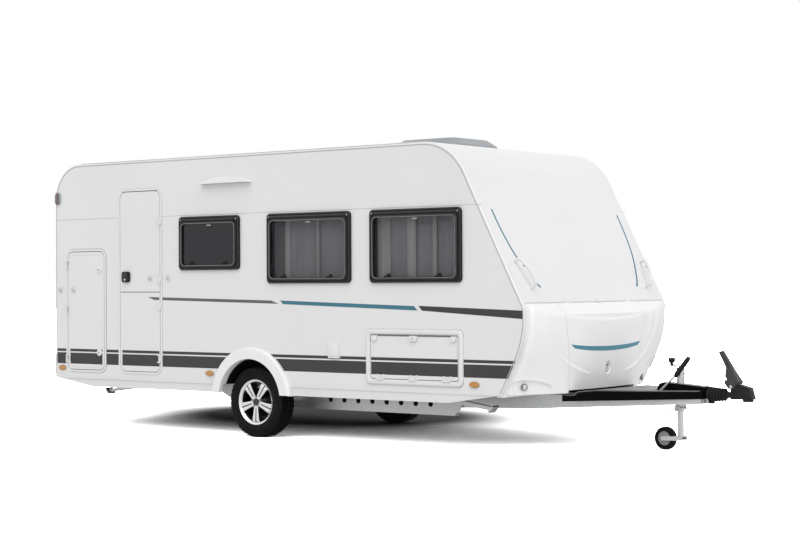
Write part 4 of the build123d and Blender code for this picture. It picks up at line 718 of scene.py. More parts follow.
def door_details():
    """Handles, locks, latches and catches of the leaves, and the fittings beside them."""
    face = WALL_Y + LEAF
    # entrance handle: its plate, a paddle and a key barrel
    back = face + 0.022
    parts = [block_on_wall(0.921, 0.989, 1.314, 1.404, 0.033, back, back + 0.003, -1),
             block_on_wall(0.926, 0.984, 1.352, 1.394, 0.012, back + 0.003, back + 0.009, -1)]
    piece("entrance_paddle", *merged(parts), "black_gloss", "entrance_upper")
    piece("entrance_key", *disc_on_wall(0.955, 1.336, 0.009, back + 0.003, back + 0.0075, -1), "chrome",
          "entrance_upper")
    # service door locks
    s, heights = SERVICE_LOCKS
    for k, z in enumerate(heights):
        ring = disc_on_wall(s, z, 0.024, face + 0.010, face + 0.014, -1)
        key = disc_on_wall(s, z, 0.009, face + 0.014, face + 0.0165, -1)
        slot = block_on_wall(s - 0.0015, s + 0.0015, z - 0.006, z + 0.006, 0.001, face + 0.0165, face + 0.017,
                             -1, 0.0003)
        for label, shape, finish in (("ring", ring, "front"), ("key", key, "edge"), ("slot", slot, "seal")):
            piece(f"service_lock_{label}_{k}", *shape, finish, "service_hatch")
    # storage flap latches: a wide one with a key between two others
    for k, s in enumerate(LATCHES):
        wide = 0.040 if k == 1 else 0.026
        latch = block_on_wall(s - wide, s + wide, 0.838, 0.880, 0.018, face + 0.012, face + 0.019, -1, 0.005)
        piece(f"flap_latch_{k}", *latch, "trim", "storage_lid")
        if k == 1:
            piece("flap_latch_key", *disc_on_wall(s, 0.861, 0.007, face + 0.019, face + 0.021, -1), "edge",
                  "storage_lid")
    # catches that hold the open leaves, with grey caps that paint their shade
    for k, (s, z, body, start) in enumerate(CATCHES):
        piece(f"shaded_catch_cap_{k}", *disc_on_wall(s, z, 0.020, start + 0.013, start + 0.0225, -1), "edge_soft",
              body)
    # socket box: lid with a thumb lip
    low = WALL_Y + 0.028
    parts = [block_on_wall(3.324, 3.426, 0.708, 0.826, 0.010, low, WALL_Y + 0.034, -1),
             block_on_wall(3.350, 3.400, 0.694, 0.706, 0.004, low, WALL_Y + 0.036, -1)]
    piece("socket_lid", *merged(parts), "trim")
    # left side: water filler, vents with slats, and the cassette flap's locks
    piece("filler_cap", *disc_on_wall(1.120, 0.690, 0.050, WALL_Y + 0.014, WALL_Y + 0.024, 1), "front")
    piece("filler_grip", *block_on_wall(1.078, 1.162, 0.682, 0.698, 0.006, WALL_Y + 0.024, WALL_Y + 0.036, 1),
          "edge")
    y0, y1 = WALL_Y + 0.009, WALL_Y + 0.020
    for label, low in VENT_FEET.items():
        slats = []
        for k in range(SLATS):
            z = low + 0.032 + k * SLAT_PITCH
            section = ((y0, z), (y1, z - 0.009), (y1, z - 0.006), (y0, z + 0.006))
            slats.append(prism([(X(2.925), y, height) for y, height in section], (0.430, 0, 0)))
        piece(f"vent_slats_{label}", *merged(slats), "trim")
        line = rect_line(2.908, 3.372, low + 0.008, low + 0.232, 0.012)
        closed_ribbon(f"vent_rim_{label}", line, 0.012, "trim", 1, lift=0.009, thickness=0.006)
        # dark sheet behind the slats: painted shade in the vent's opening
        vinyl(f"vent_shade_{label}", [band_piece(low + 0.02, low + 0.22, 2.922, 3.358)], "seal", 1, lift=0.009)
    stations, z = CASSETTE_LOCKS
    for k, s in enumerate(stations):
        lock = disc_on_wall(s, z, 0.017, face, face + 0.009, 1)
        key = disc_on_wall(s, z, 0.006, face + 0.009, face + 0.011, 1)
        piece(f"cassette_lock_{k}", *lock, "trim", "cassette_lid")
        piece(f"cassette_key_{k}", *key, "edge", "cassette_lid")


# ---- windows and curtains ------------------------------------------------------------------------
# Openings: name, side, first and last station, low and high edge.
WINDOWS = [("right_small", -1, 1.622, 2.332, 1.415, 1.877), ("right_middle", -1, 2.650, 3.550, 1.297, 1.877),
           ("right_front", -1, 3.750, 4.650, 1.297, 1.877), ("left_washroom", 1, 0.420, 0.960, 1.415, 1.877),
           ("left_middle", 1, 1.500, 2.400, 1.297, 1.877), ("left_front", 1, 3.750, 4.650, 1.297, 1.877)]
PANE_INSETS = (0.030, 0.044, 0.034, 0.056)      # from the opening's first and last station, low and high edge
# The pane's raised edge over the frame: (inset, lift, corner radius) across it.
PANE_EDGE = ((-0.010, 0.0195, 0.052), (-0.009, 0.0265, 0.051), (-0.005, 0.0295, 0.047),
             (0.004, 0.0300, 0.040), (0.007, 0.0270, 0.037), (0.007, 0.0110, 0.037))
STAY_SHARES = (0.20, 0.755)                     # where the stays' catches sit along a window


def shrunk(area, inset, radius):
    """A rounded rectangle inside an area."""
    s0, s1, z0, z1 = area
    return rect_line(s0 + inset, s1 - inset, z0 + inset, z1 - inset, radius, 8)


def window_details():
    """The panes' raised edges, rails, catches and latches."""
    face = WALL_Y + 0.010                       # the panes' outer face
    for label, side, s0, s1, z0, z1 in WINDOWS:
        a, b, c, d = s0 + PANE_INSETS[0], s1 - PANE_INSETS[1], z0 + PANE_INSETS[2], z1 - PANE_INSETS[3]
        pane = (a, b, c, d)
        loops = [[(X(p.x), side * (WALL_Y + lift), p.y) for p in shrunk(pane, inset, radius)]
                 for inset, lift, radius in PANE_EDGE]
        piece(f"pane_edge_{label}", *rings(loops, closed_loop=True), "black_gloss", angle=50)
        # a thin light grey line round the pane: a painted glint
        closed_ribbon(f"pane_glint_{label}", shrunk(pane, 0.0045, 0.040), 0.0036, "bevel_glint", side,
                      lift=0.0292)
        bead = shrunk((s0, s1, z0, z1), 0.008, 0.030)
        closed_ribbon(f"frame_bead_{label}", bead, 0.010, "black_gloss", side, lift=0.0195, thickness=0.004)
        # hinge rail along the top with its end screws
        y = WALL_Y + 0.026
        rail = block_on_wall(s0 + 0.022, s1 - 0.022, z1 - 0.036, z1 - 0.020, 0.005, WALL_Y + 0.019,
                             WALL_Y + 0.027, side, 0.004)
        # a light grey strip along the rail: a painted glint
        glint = block_on_wall(s0 + 0.030, s1 - 0.030, z1 - 0.0245, z1 - 0.0225, 0.0008, y, WALL_Y + 0.0275,
                              side, 0.0004)
        screws = [disc_on_wall(s, z1 - 0.030, 0.005, y, WALL_Y + 0.029, side, 16)
                  for s in (s0 + 0.026, s1 - 0.026)]
        piece(f"window_rail_{label}", *rail, "black_gloss")
        piece(f"rail_glint_{label}", *glint, "cast_light")
        piece(f"rail_screws_{label}", *merged(screws), "edge_soft")
        # the stays' catches along the bottom, the side catches and the latch
        catches = []
        for share in STAY_SHARES:
            s = s0 + share * (s1 - s0)
            catches.append(block_on_wall(s - 0.036, s + 0.030, c + 0.010, c + 0.024, 0.006, face,
                                         WALL_Y + 0.019, side))
            catches.append(block_on_wall(s - 0.006, s + 0.026, c + 0.020, c + 0.040, 0.008, face,
                                         WALL_Y + 0.017, side))
        catches.append(block_on_wall(a + 0.010, a + 0.022, c + 0.045, c + 0.115, 0.006, face, WALL_Y + 0.015,
                                     side))
        catches.append(block_on_wall(b - 0.022, b - 0.010, c + 0.085, c + 0.135, 0.006, face, WALL_Y + 0.015,
                                     side))
        piece(f"stay_catches_{label}", *merged(catches), "seal")
        s = (s0 + s1) / 2
        latch = block_on_wall(s - 0.026, s + 0.022, d - 0.026, d - 0.017, 0.003, face, WALL_Y + 0.014, side,
                              0.001)
        piece(f"pane_latch_{label}", *latch, "edge_soft")


SHEET_HALF = 0.0004                             # half a curtain's thickness


def folded_sheet(name, start, end, low, high, y, side, folds, depth, seed, material, on_rear=False):
    """A hanging net in soft folds, as a thin closed sheet. start and end are Y on the rear wall."""
    columns, rows = folds * 12, 14
    layers = ([], [])
    for i in range(columns + 1):
        along = start + (end - start) * i / columns
        phase = 2 * math.pi * folds * i / columns
        column = []
        for j in range(rows + 1):
            drop = j / rows
            drift = 0.7 * math.sin(0.37 * phase + seed) + 0.25 * math.sin(2.1 * drop + seed)
            wave = math.sin(phase + drift) * 0.5
            wave += 0.22 * math.sin(0.5 * phase + seed * 1.7) + 0.10 * math.sin(2.0 * phase + 3 * drop + seed)
            swing = depth * (0.55 + 0.45 * drop) * wave
            column.append((along, y - side * (swing + depth * 0.75), high + (low - high) * drop))
        for layer, shift in zip(layers, (-SHEET_HALF, SHEET_HALF)):
            layer.append([(p[0], p[1] + shift, p[2]) for p in column])
    verts, faces = [], []
    for column in layers[0] + layers[1]:
        verts += [Vector((REAR + p[1], p[0], p[2])) if on_rear else Vector((X(p[0]), p[1], p[2]))
                  for p in column]
    n = rows + 1
    back = (columns + 1) * n
    for i in range(columns):
        for j in range(rows):
            a, b, c, d = i * n + j, (i + 1) * n + j, (i + 1) * n + j + 1, i * n + j + 1
            faces += [(a, b, c, d), (back + d, back + c, back + b, back + a)]
    for j in range(rows):
        far = columns * n + j
        faces += [(j, j + 1, back + j + 1, back + j), (far + 1, far, back + far, back + far + 1)]
    for i in range(columns):
        a, b = i * n, (i + 1) * n
        faces += [(b, a, back + a, back + b), (a + rows, b + rows, back + b + rows, back + a + rows)]
    obj = piece(name, verts, faces, material, angle=80)
    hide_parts("curtains")


CURTAIN_LAP = 0.030                             # how far the nets run past a window, above and below
CURTAIN_Y = 1.0272
REAR_NET = (1.267, 1.907, 0.033)                # low and high edge, and distance in front of the rear's face
BARE_WINDOWS = ("right_small", "left_washroom")
# Shares of the window's width: the two nets, then the gathered edges that lie over them.
NETS = {"right_middle": (((0.185, 0.592), (0.574, 1.033)), ((0.180, 0.235), (0.560, 0.585), (-0.033, 0.176)))}
PLAIN_NETS = (((-0.033, 0.470), (0.385, 1.033)), ((0.040, 0.190), (0.380, 0.470), (0.655, 0.700)))
REAR_NETS = ((-0.590, 0.030), (-0.030, 0.590), (-0.520, -0.400), (0.400, 0.520))    # in Y


def curtains():
    """Nets behind the windows, with gathered edges over them."""
    for k, (label, side, s0, s1, z0, z1) in enumerate(WINDOWS):
        if label in BARE_WINDOWS:
            continue
        nets, edges = NETS.get(label, PLAIN_NETS)
        for n, (start, end) in enumerate(nets + edges):
            a, b = s0 + start * (s1 - s0), s0 + end * (s1 - s0)
            folds, depth, back = (5, 0.006, 0.008 + 0.010 * n) if n < 2 else (2, 0.004, 0.0)
            finish = "net" if n < 2 else ("dim_net" if start < 0 else "hem")
            folded_sheet(f"net_{label}_{n}", a, b, z0 - CURTAIN_LAP, z1 + CURTAIN_LAP,
                         side * (CURTAIN_Y - back), side, folds, depth, k * 1.3 + n, finish)
    low, high, inside = REAR_NET
    for n, (start, end) in enumerate(REAR_NETS):
        folds, depth, back = (6, 0.006, 0.010 * n) if n < 2 else (2, 0.005, 0.020)
        folded_sheet(f"net_rear_{n}", start, end, low, high, inside + back, -1, folds, depth, 4.2 + n,
                     "net", on_rear=True)


# ---- pieces draped on the front ------------------------------------------------------------------
def surface(*objects):
    """A search tree over some objects' meshes."""
    verts, faces = [], []
    for obj in objects:
        base = len(verts)
        verts += [v.co.copy() for v in obj.data.vertices]
        faces += [[base + i for i in p.vertices] for p in obj.data.polygons]
    return BVHTree.FromPolygons(verts, faces)


FRONT_PARTS = [NODES["front_panel"], NODES["front_moulding"], NODES["gas_locker_lid"]]
FRONT = surface(*FRONT_PARTS)
AHEAD = 6.0                                     # X from which the front is met


def on_front(y, z):
    """The front's surface point and outward normal at (Y, Z), met from ahead."""
    hit, normal, _, _ = FRONT.ray_cast(Vector((AHEAD, y, z)), Vector((-1, 0, 0)))
    if hit is None:
        return Vector((X(5.0), y, z)), Vector((1, 0, 0))
    return hit, normal if normal.x > 0 else -normal


def smoothed(values):
    """Averages neighbouring vectors along a line."""
    for _ in range(4):
        middle = [(a + 2 * b + c) / 4 for a, b, c in zip(values, values[1:], values[2:])]
        values = [values[0]] + middle + [values[-1]]
    return values


def spline(points, steps=8):
    """A smooth line through (Y, Z) points."""
    points = [Vector(p) for p in points]
    line = []
    for k in range(len(points) - 1):
        p0, p1, p2, p3 = points[max(k - 1, 0)], points[k], points[k + 1], points[min(k + 2, len(points) - 1)]
        for i in range(steps):
            t = i / steps
            line.append(0.5 * ((2 * p1) + (p2 - p0) * t + (2 * p0 - 5 * p1 + 4 * p2 - p3) * t * t
                               + (3 * p1 - p0 - 3 * p2 + p3) * t ** 3))
    line.append(points[-1])
    return line


def draped(name, line, half_width, section, material, sink=0.004):
    """A strip on the front along a line of (Y, Z); section gives (across from -1 to 1, rise) points."""
    normals = smoothed([on_front(p[0], p[1])[1] for p in line])
    feet = [(1.0, -sink), (-1.0, -sink)]
    loops = []
    for k, (point, normal) in enumerate(zip(line, normals)):
        way = (Vector(line[min(k + 1, len(line) - 1)]) - Vector(line[max(k - 1, 0)])).normalized()
        out = Vector((-way.y, way.x))
        loop = []
        for across, rise in section + feet:
            base, _ = on_front(point[0] + out.x * across * half_width, point[1] + out.y * across * half_width)
            loop.append(base + normal.normalized() * rise)
        loops.append(loop)
    return piece(name, *rings(loops), material, angle=60)


# The moulded skin over the lid and over the cheeks beside it: one relief, station as a function of (Y, Z).
LID_LOW, LID_HIGH = 0.463, SEAM_Z - 0.0010
CHEEK_LOW, CHEEK_OUT = 0.4415, 0.976
SKIN = 0.0075                                   # how far the skin stands in front of the panels under it
LID_NOSE = (5.312, 1.047)                       # station and height of the lid's foremost line
LID_DROOP, LID_CROWN = 6.5, 11.2                # twice its radii downwards and across
LEDGE = (5.199, 1.138, 0.9004)                  # station, height and slope of the ledge above it
LID_SIDE = (0.486, 0.1793)                      # Y of the lid's side at its foot, and how it leans outwards
CHEEK_EDGE = 0.962                              # Y at which the cheeks meet the side walls
ROLL = (0.936, 0.040)                           # Y where the skin starts to roll back, and how far that takes
LOCK_Z = 0.622                                  # middle of the lock's dish
NOSE_LINE = [p for p in rounded_line(WALL_CORNERS, 24) if p.x > 4.9 and p.y < 1.3][::-1]
U_RIDGE = spline([(0.838, 1.085), (0.822, 0.990), (0.788, 0.900), (0.732, 0.818), (0.668, 0.752),
                  (0.600, 0.702), (0.520, 0.660), (0.420, 0.620), (0.310, 0.588), (0.200, 0.568)], 4)
HOOD = spline([(1.000, 0.530), (0.960, 0.551), (0.910, 0.560), (0.840, 0.555), (0.760, 0.542), (0.690, 0.524),
               (0.640, 0.498), (0.615, 0.440)], 4)


def soft_min(a, b, width):
    """The smaller of two values, blended where they are close."""
    share = max(width - abs(a - b), 0) / width
    return min(a, b) - share * share * width / 4


def smooth_step(low, high, value):
    """A soft rise from 0 to 1 between two values."""
    t = min(1, max(0, (value - low) / (high - low)))
    return t * t * (3 - 2 * t)


def nose_line(z):
    """Station of the side walls' front edge at a height."""
    for low, high in zip(NOSE_LINE, NOSE_LINE[1:]):
        if z <= high.y:
            return low.x + (high.x - low.x) * (z - low.y) / max(high.y - low.y, 1e-6)
    return NOSE_LINE[-1].x


def seam_y(z):
    """Y of the joint beside the lid at a height."""
    return LID_SIDE[0] + LID_SIDE[1] * (z - LID_LOW)


def off_line(line, y, z):
    """Distance from a line of (Y, Z), positive on its lower or outer side, and the share of its length."""
    best, where, sign = 9.0, 0, 1
    for k in range(len(line) - 1):
        a, b = line[k], line[k + 1]
        way = b - a
        t = min(1, max(0, ((y - a.x) * way.x + (z - a.y) * way.y) / way.length_squared))
        dy, dz = y - a.x - way.x * t, z - a.y - way.y * t
        distance = math.hypot(dy, dz)
        if distance < best:
            best, where = distance, (k + t) / (len(line) - 1)
            sign = 1 if way.x * dz - way.y * dy > 0 else -1
    return best * sign, where


def bell(distance, width):
    """A soft bump about 0."""
    return math.exp(-(distance / width) ** 2)


def relief(y, z):
    """Station of the moulded skin."""
    side = abs(y)
    # the lid's bulge, the cheeks from its joint out to the side walls, and the ledge over both
    middle = LID_NOSE[0] - max(0.0, LID_NOSE[1] - z) ** 2 / LID_DROOP
    seam = seam_y(z)
    at_seam = middle - seam ** 2 / LID_CROWN
    wall = nose_line(z)
    edge = wall + 0.012 + 0.014 * max(0.0, (0.5 - z) / 0.06)
    u = (side - seam) / (CHEEK_EDGE - seam)
    cheek_face = at_seam + (edge - at_seam) * u + 0.040 * max(0.0, u * (1 - u))
    face = soft_min(middle - side ** 2 / LID_CROWN, cheek_face, 0.020) if u < 0.3 else cheek_face
    station = soft_min(face, LEDGE[0] + (LEDGE[1] - z) * LEDGE[2], 0.024) + SKIN
    # the U-shaped ridge, steep inside and soft outside
    if 0.15 < side < 0.92 and 0.5 < z < 1.12:
        distance, where = off_line(U_RIDGE, side, z)
        fade = smooth_step(0.0, 0.16, where) * smooth_step(1.0, 0.80, where)
        station += 0.0085 * fade * (math.exp(-distance / 0.060) if distance > 0 else bell(distance, 0.011))
    # the hoods over the marker lamps' recesses
    if side > 0.56 and z < 0.62:
        distance, where = off_line(HOOD, side, z)
        fade = smooth_step(0.0, 0.10, where) * smooth_step(0.990, 0.950, side)
        station += fade * (0.0040 * bell(distance, 0.014) - 0.017 * smooth_step(0.002, 0.020,
                                                                                max(distance, 0)))
    # the lock's dish with its raised rim
    if side < 0.075 and abs(z - LOCK_Z) < 0.08:
        away = math.hypot(y, (z - LOCK_Z) * 0.90)
        station -= 0.0080 * smooth_step(0.048, 0.038, away) - 0.0016 * bell(away - 0.049, 0.006)
    # the outer edges roll back to the side walls
    if side > ROLL[0]:
        t = min(1.0, (side - ROLL[0]) / ROLL[1])
        station = wall + 0.001 + (station - wall - 0.001) * math.sqrt(max(0.0, 1 - t * t))
    return station


def skin_piece(name, columns, rows, spot, body):
    """A smooth sheet over the relief; spot gives (Y, Z) for shares across and up. Its border turns back."""
    verts = []
    for i in range(columns + 1):
        for j in range(rows + 1):
            y, z = spot(i / columns, j / rows)
            verts.append(Vector((X(relief(y, z)), y, z)))
    n = rows + 1
    faces = [(i * n + j, (i + 1) * n + j, (i + 1) * n + j + 1, i * n + j + 1)
             for i in range(columns) for j in range(rows)]
    border = [i * n for i in range(columns + 1)] + [columns * n + j for j in range(1, n)]
    border += [i * n + rows for i in range(columns - 1, -1, -1)] + list(range(rows - 1, 0, -1))
    base = len(verts)
    verts += [verts[index] + Vector((-0.009, 0, 0)) for index in border]
    count = len(border)
    faces += [(border[k], border[(k + 1) % count], base + (k + 1) % count, base + k) for k in range(count)]
    return piece(name, verts, faces, "skin", body, angle=50)


def front_skin():
    """The relief as three pieces, with joints beside the lid."""
    def lid_spot(u, v):
        z = LID_LOW + v * (LID_HIGH - LID_LOW)
        return (2 * u - 1) * (seam_y(z) + 0.0005), z
    made = [skin_piece("lid_skin", 240, 140, lid_spot, "gas_lid")]
    for side_name, side in SIDES.items():
        def cheek_spot(u, v, side=side):
            z = CHEEK_LOW + v * (LID_HIGH - CHEEK_LOW)
            start = seam_y(max(z, LID_LOW)) + 0.0042
            return side * (start + u * (CHEEK_OUT - start)), z
        made.append(skin_piece(f"cheek_skin_{side_name}", 90, 140, cheek_spot, "caravan"))
    return made


# Lines on the front as (Y, Z) on the left side.
FRONT_LINE = [(0.922, 1.857), (0.921, 1.773), (0.909, 1.660), (0.883, 1.536), (0.843, 1.440), (0.775, 1.318),
              (0.718, 1.256)]
HANDLE_GAP = (1.290, 1.462)                     # the right line stops between these heights, under its handle
HANDLE_PLATE = [(0.931, 1.462), (0.916, 1.400), (0.893, 1.330), (0.860, 1.244)]
PLATE_SECTION = [(-1, 0.0), (-0.85, 0.004), (-0.4, 0.0065), (0.4, 0.0065), (0.85, 0.004), (1, 0.0)]
HANDLE_DOT_AT = (0.912, 1.395)
HANDLE_DOT = [(0.056, 0.0), (0.056, 0.0085), (0.068, 0.0085), (0.071, 0.006), (0.072, 0.0)]
# Upper and lower edge of the lid's blue band, from its middle outwards.
BAND_TOP = [(0.0, 0.792), (0.18, 0.795), (0.36, 0.803), (0.524, 0.817)]
BAND_LOW = [(0.0, 0.755), (0.15, 0.758), (0.31, 0.767), (0.470, 0.784)]
BAND_SECTION = ((0, 0.0008), (0.33, 0.0008), (0.67, 0.0008), (1, 0.0008), (1, -0.001), (0, -0.001))
LAMP_AT = (0.872, 0.500)
LAMP_AXIS = (0.94, 0.34)                        # the marker lamps look forwards and outwards
LAMP_BODY = [(-0.020, 0.012), (0.006, 0.026), (0.016, 0.0275), (0.022, 0.0265), (0.023, 0.021), (0.017, 0.0)]
LAMP_LENS = [(0.014, 0.0), (0.014, 0.0205), (0.022, 0.0200), (0.027, 0.013), (0.029, 0.0)]
# The lid lock: name, height, profile, steps and finish.
LOCK_PARTS = (("lid_lock", 0.643,
               [(-0.002, 0.0), (-0.002, 0.0150), (0.0045, 0.0145), (0.0060, 0.0120), (0.0060, 0.0)], 32,
               "edge"),
              ("lid_lock_key", 0.643, [(0.004, 0.0), (0.004, 0.0075), (0.0072, 0.0065), (0.0072, 0.0)], 24,
               "seal"),
              ("lid_lock_pull", 0.603,
               [(-0.003, 0.015), (-0.003, 0.021), (0.0040, 0.020), (0.0046, 0.0175), (0.0036, 0.015)], 32,
               "edge"))


def flat_section(rise):
    """A section with no shape across, for draped()."""
    return [(-1.0, rise), (0.0, rise), (1.0, rise)]


def both_ways(half):
    """A line through points given from its middle outwards, and their mirror images."""
    return spline([(-y, z) for y, z in half[:0:-1]] + half)


def front_details():
    """The skin, then what lies on it and on the panel above."""
    global FRONT
    FRONT = surface(*FRONT_PARTS, *front_skin())
    for side_name, side in SIDES.items():
        line = spline([(side * y, z) for y, z in FRONT_LINE], 10)
        stretches = [line]
        if side < 0:
            stretches = [[p for p in line if p.y > HANDLE_GAP[1]], [p for p in line if p.y < HANDLE_GAP[0]]]
        for k, stretch in enumerate(stretches):
            draped(f"front_line_{side_name}_{k}", stretch, 0.0085, flat_section(0.0008), "teal", sink=0.001)
        plate = spline([(side * y, z) for y, z in HANDLE_PLATE])
        draped(f"handle_plate_{side_name}", plate, 0.0150, PLATE_SECTION, "trim")
        turned(f"handle_dot_{side_name}", HANDLE_DOT, *on_front(side * HANDLE_DOT_AT[0], HANDLE_DOT_AT[1]),
               20, "red_soft")
    # rubber strip in the joint between panel and moulding
    seam = [(y / 100, SEAM_Z + 0.0020) for y in range(-102, 103, 4)]
    draped("front_seam_seal", seam, 0.0042, flat_section(0.0010), "edge_soft", sink=0.002)
    # smile-shaped blue band on the lid, widest in the middle
    loops = []
    for top, low in zip(both_ways(BAND_TOP), both_ways(BAND_LOW)):
        spots = [(on_front(*low.lerp(top, t)), rise) for t, rise in BAND_SECTION]
        loops.append([base + normal * rise for (base, normal), rise in spots])
    piece("lid_band", *rings(loops), "teal_bright", "gas_lid", angle=60)
    # round marker lamps in the cheeks' recesses
    for side_name, side in SIDES.items():
        base, _ = on_front(side * LAMP_AT[0], LAMP_AT[1])
        axis = (LAMP_AXIS[0], side * LAMP_AXIS[1], 0)
        turned(f"front_lamp_body_{side_name}", LAMP_BODY, base, axis, 36, "cast_light")
        turned(f"front_lamp_lens_{side_name}", LAMP_LENS, base, axis, 36, "white_lens")
    for name, z, profile, steps, finish in LOCK_PARTS:
        turned(name, profile, *on_front(0.0, z), steps, finish, "gas_lid")


# ---- lamps ---------------------------------------------------------------------------------------
MARKERS = [(0.100, 0.533), (1.975, 0.530), (4.760, 0.518)]
CORNER_LAMP = Vector((0.044, 2.088))            # station and height of its middle
CORNER_SECTION = ((1.0, 0.0115), (1.0, 0.0150), (0.95, 0.0175), (0.86, 0.0185))     # (size, rise)


def oval(s, z, half_length, half_height):
    """An oval line of (station, height)."""
    turns = [2 * math.pi * i / 40 for i in range(40)]
    return [Vector((s + half_length * math.cos(t), z + half_height * math.sin(t))) for t in turns]


def lamp_details():
    """Side markers, corner marker lamps and the awning lamp."""
    for side_name, side in SIDES.items():
        for k, (s, z) in enumerate(MARKERS):
            bezel, rib = oval(s, z, 0.047, 0.0245), oval(s, z, 0.034, 0.015)
            closed_ribbon(f"marker_bezel_{side_name}_{k}", bezel, 0.005, "edge_soft", side, thickness=0.007)
            closed_ribbon(f"marker_rib_{side_name}_{k}", rib, 0.004, "amber", side, lift=0.0135,
                          thickness=0.002)
        # corner marker lamp: a greyed red lens at the rear, a smoked one at the front
        line = [Vector(p) for p in round_points(0.027, 0.055, 0.026, 8)]
        for half_name, way, finish in (("rear", -1, "red_soft"), ("front", 1, "smoked_lens")):
            half = [Vector((way * max(0.0008, way * p.x), p.y)) for p in line]
            middle = Vector((way * 0.013, 0))
            loops = []
            for size, rise in CORNER_SECTION:
                spots = [CORNER_LAMP + middle + (p - middle) * size for p in half]
                loops.append([(X(p.x), side * (WALL_Y + rise), p.y) for p in spots])
            piece(f"corner_lens_{half_name}_{side_name}", *rings(loops), finish, angle=50)
        bezel = [CORNER_LAMP + Vector((p.x * 1.02, p.y * 1.01)) for p in line]
        closed_ribbon(f"corner_bezel_{side_name}", bezel, 0.004, "edge_soft", side, lift=0.0105,
                      thickness=0.003)
    # awning lamp: a light strip along its lower edge
    low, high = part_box("awning_lamp")
    strip = block_on_wall(low.x - REAR + 0.02, high.x - REAR - 0.02, low.z - 0.003, low.z + 0.003, 0.002,
                          WALL_Y + 0.004, WALL_Y + 0.050, -1, 0.001)
    piece("awning_strip", *strip, "edge")


# ---- wheels and tyres ----------------------------------------------------------------------------
TYRE_R = 0.298
WHEEL_Y = 0.930
RIM_R = 0.178
TURN_STEPS = 288
# The tyre's sidewall as (distance outwards, height over the rim), from its foot to the shoulder.
SIDEWALL = [(0.0765, 0), (0.0765, 0.008), (0.0835, 0.016), (0.0850, 0.019), (0.0850, 0.022), (0.0890, 0.030),
            (0.0915, 0.045), (0.0921, 0.047), (0.0921, 0.050), (0.0922, 0.058), (0.0905, 0.074),
            (0.0895, 0.0745), (0.0893, 0.078), (0.0895, 0.0785), (0.0870, 0.092), (0.0830, 0.103),
            (0.0775, 0.112)]
TREAD_HALF = 0.0735
GROOVES = (0.058, 0.025, -0.025, -0.058)        # the grooves' middles across the tread
GROOVE_DEPTH = 0.007
# Profiles of the wheel's turned parts, as (distance outwards, radius).
BARREL = [(-0.080, 0.188), (-0.080, 0.166), (-0.060, 0.160), (0.030, 0.158), (0.060, 0.164), (0.068, 0.172),
          (0.074, 0.1755), (0.074, 0.1775), (0.0, 0.1775), (-0.076, 0.1775)]
LIP = [(0.064, 0.1665), (0.072, 0.1700), (0.0775, 0.1760), (0.0805, 0.1840), (0.0840, 0.1900),
       (0.0815, 0.1915), (0.0775, 0.1880), (0.0760, 0.1785), (0.066, 0.1775)]
HUB = [(-0.030, 0.0), (-0.030, 0.058), (0.055, 0.059), (0.068, 0.057), (0.0755, 0.052), (0.0770, 0.044),
       (0.0755, 0.034), (0.0755, 0.0)]
CAP = [(0.070, 0.0), (0.070, 0.0315), (0.0790, 0.0315), (0.0820, 0.0290), (0.0828, 0.022), (0.0815, 0.019),
       (0.0815, 0.0)]
BOLT_SEAT = [(0.070, 0.0), (0.070, 0.0105), (0.0785, 0.0105), (0.0775, 0.0085), (0.0765, 0.0)]
BOLT = [(0.072, 0.0), (0.072, 0.0066), (0.0800, 0.0064), (0.0812, 0.0052), (0.0812, 0.0)]
DRUM = [(-0.055, 0.0), (-0.055, 0.122), (0.006, 0.122), (0.014, 0.112), (0.016, 0.070), (0.016, 0.0)]
SPOKE_ENDS = (0.046, 0.170)                     # radii between which a spoke runs
SPOKE_SECTION = ((-1.15, -0.034), (-1.0, -0.004), (-0.9, -0.0008), (-0.55, 0), (0, 0.0006),
                 (0.55, 0), (0.9, -0.0008), (1.0, -0.004), (1.15, -0.034))


def wheel_point(side, outward, radius, turn):
    """A point of a wheel: distance outwards from the tyre's middle, radius and angle."""
    return Vector((WHEEL_X + radius * math.cos(turn), side * (WHEEL_Y + outward),
                   WHEEL_Z + radius * math.sin(turn)))


def slot_depth(i, outward, radius, on_tread):
    """How deep the slots across the tread and the shoulders are at a step of the turn."""
    across = abs(outward)
    in_slot = (i + (2 if outward < 0 else 0)) % 6 < 2
    if on_tread and across < 0.055 and radius > TYRE_R - 0.003 and (i + int(across * 400)) % 6 == 0:
        return 0.004
    if on_tread and across > 0.0600 and in_slot:
        return 0.006
    if not on_tread and across < 0.088 and radius > RIM_R + 0.09 and in_slot:
        return 0.0025
    return 0.0


def tyre_piece(side_name, side):
    """Tyre with rounded sidewalls, grooves round it and slots across its shoulders."""
    wall = [(a, RIM_R + height, False) for a, height in SIDEWALL]
    tread = [(TREAD_HALF, 0)]
    for g in GROOVES:
        tread += [(g + 0.0045, 0), (g + 0.003, GROOVE_DEPTH), (g - 0.003, GROOVE_DEPTH), (g - 0.0045, 0)]
    tread += [(-TREAD_HALF, 0)]
    profile = wall + [(a, TYRE_R - 0.0022 * (abs(a) / TREAD_HALF) ** 3 - depth, True) for a, depth in tread]
    profile += [(-a, r, False) for a, r, _ in reversed(wall)]
    verts, faces = [], []
    n = len(profile)
    for i in range(TURN_STEPS):
        turn = 2 * math.pi * i / TURN_STEPS
        verts += [wheel_point(side, a, r - slot_depth(i, a, r, on_tread), turn) for a, r, on_tread in profile]
        a, b = i * n, ((i + 1) % TURN_STEPS) * n
        faces += [(a + j, a + (j + 1) % n, b + (j + 1) % n, b + j) for j in range(n)]
    tyre = piece(f"tyre_tread_{side_name}", verts, faces, "tyre", f"road_wheel_{side_name}", angle=28,
                 slot="tyre")
    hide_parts(f"tyre_{side_name}")


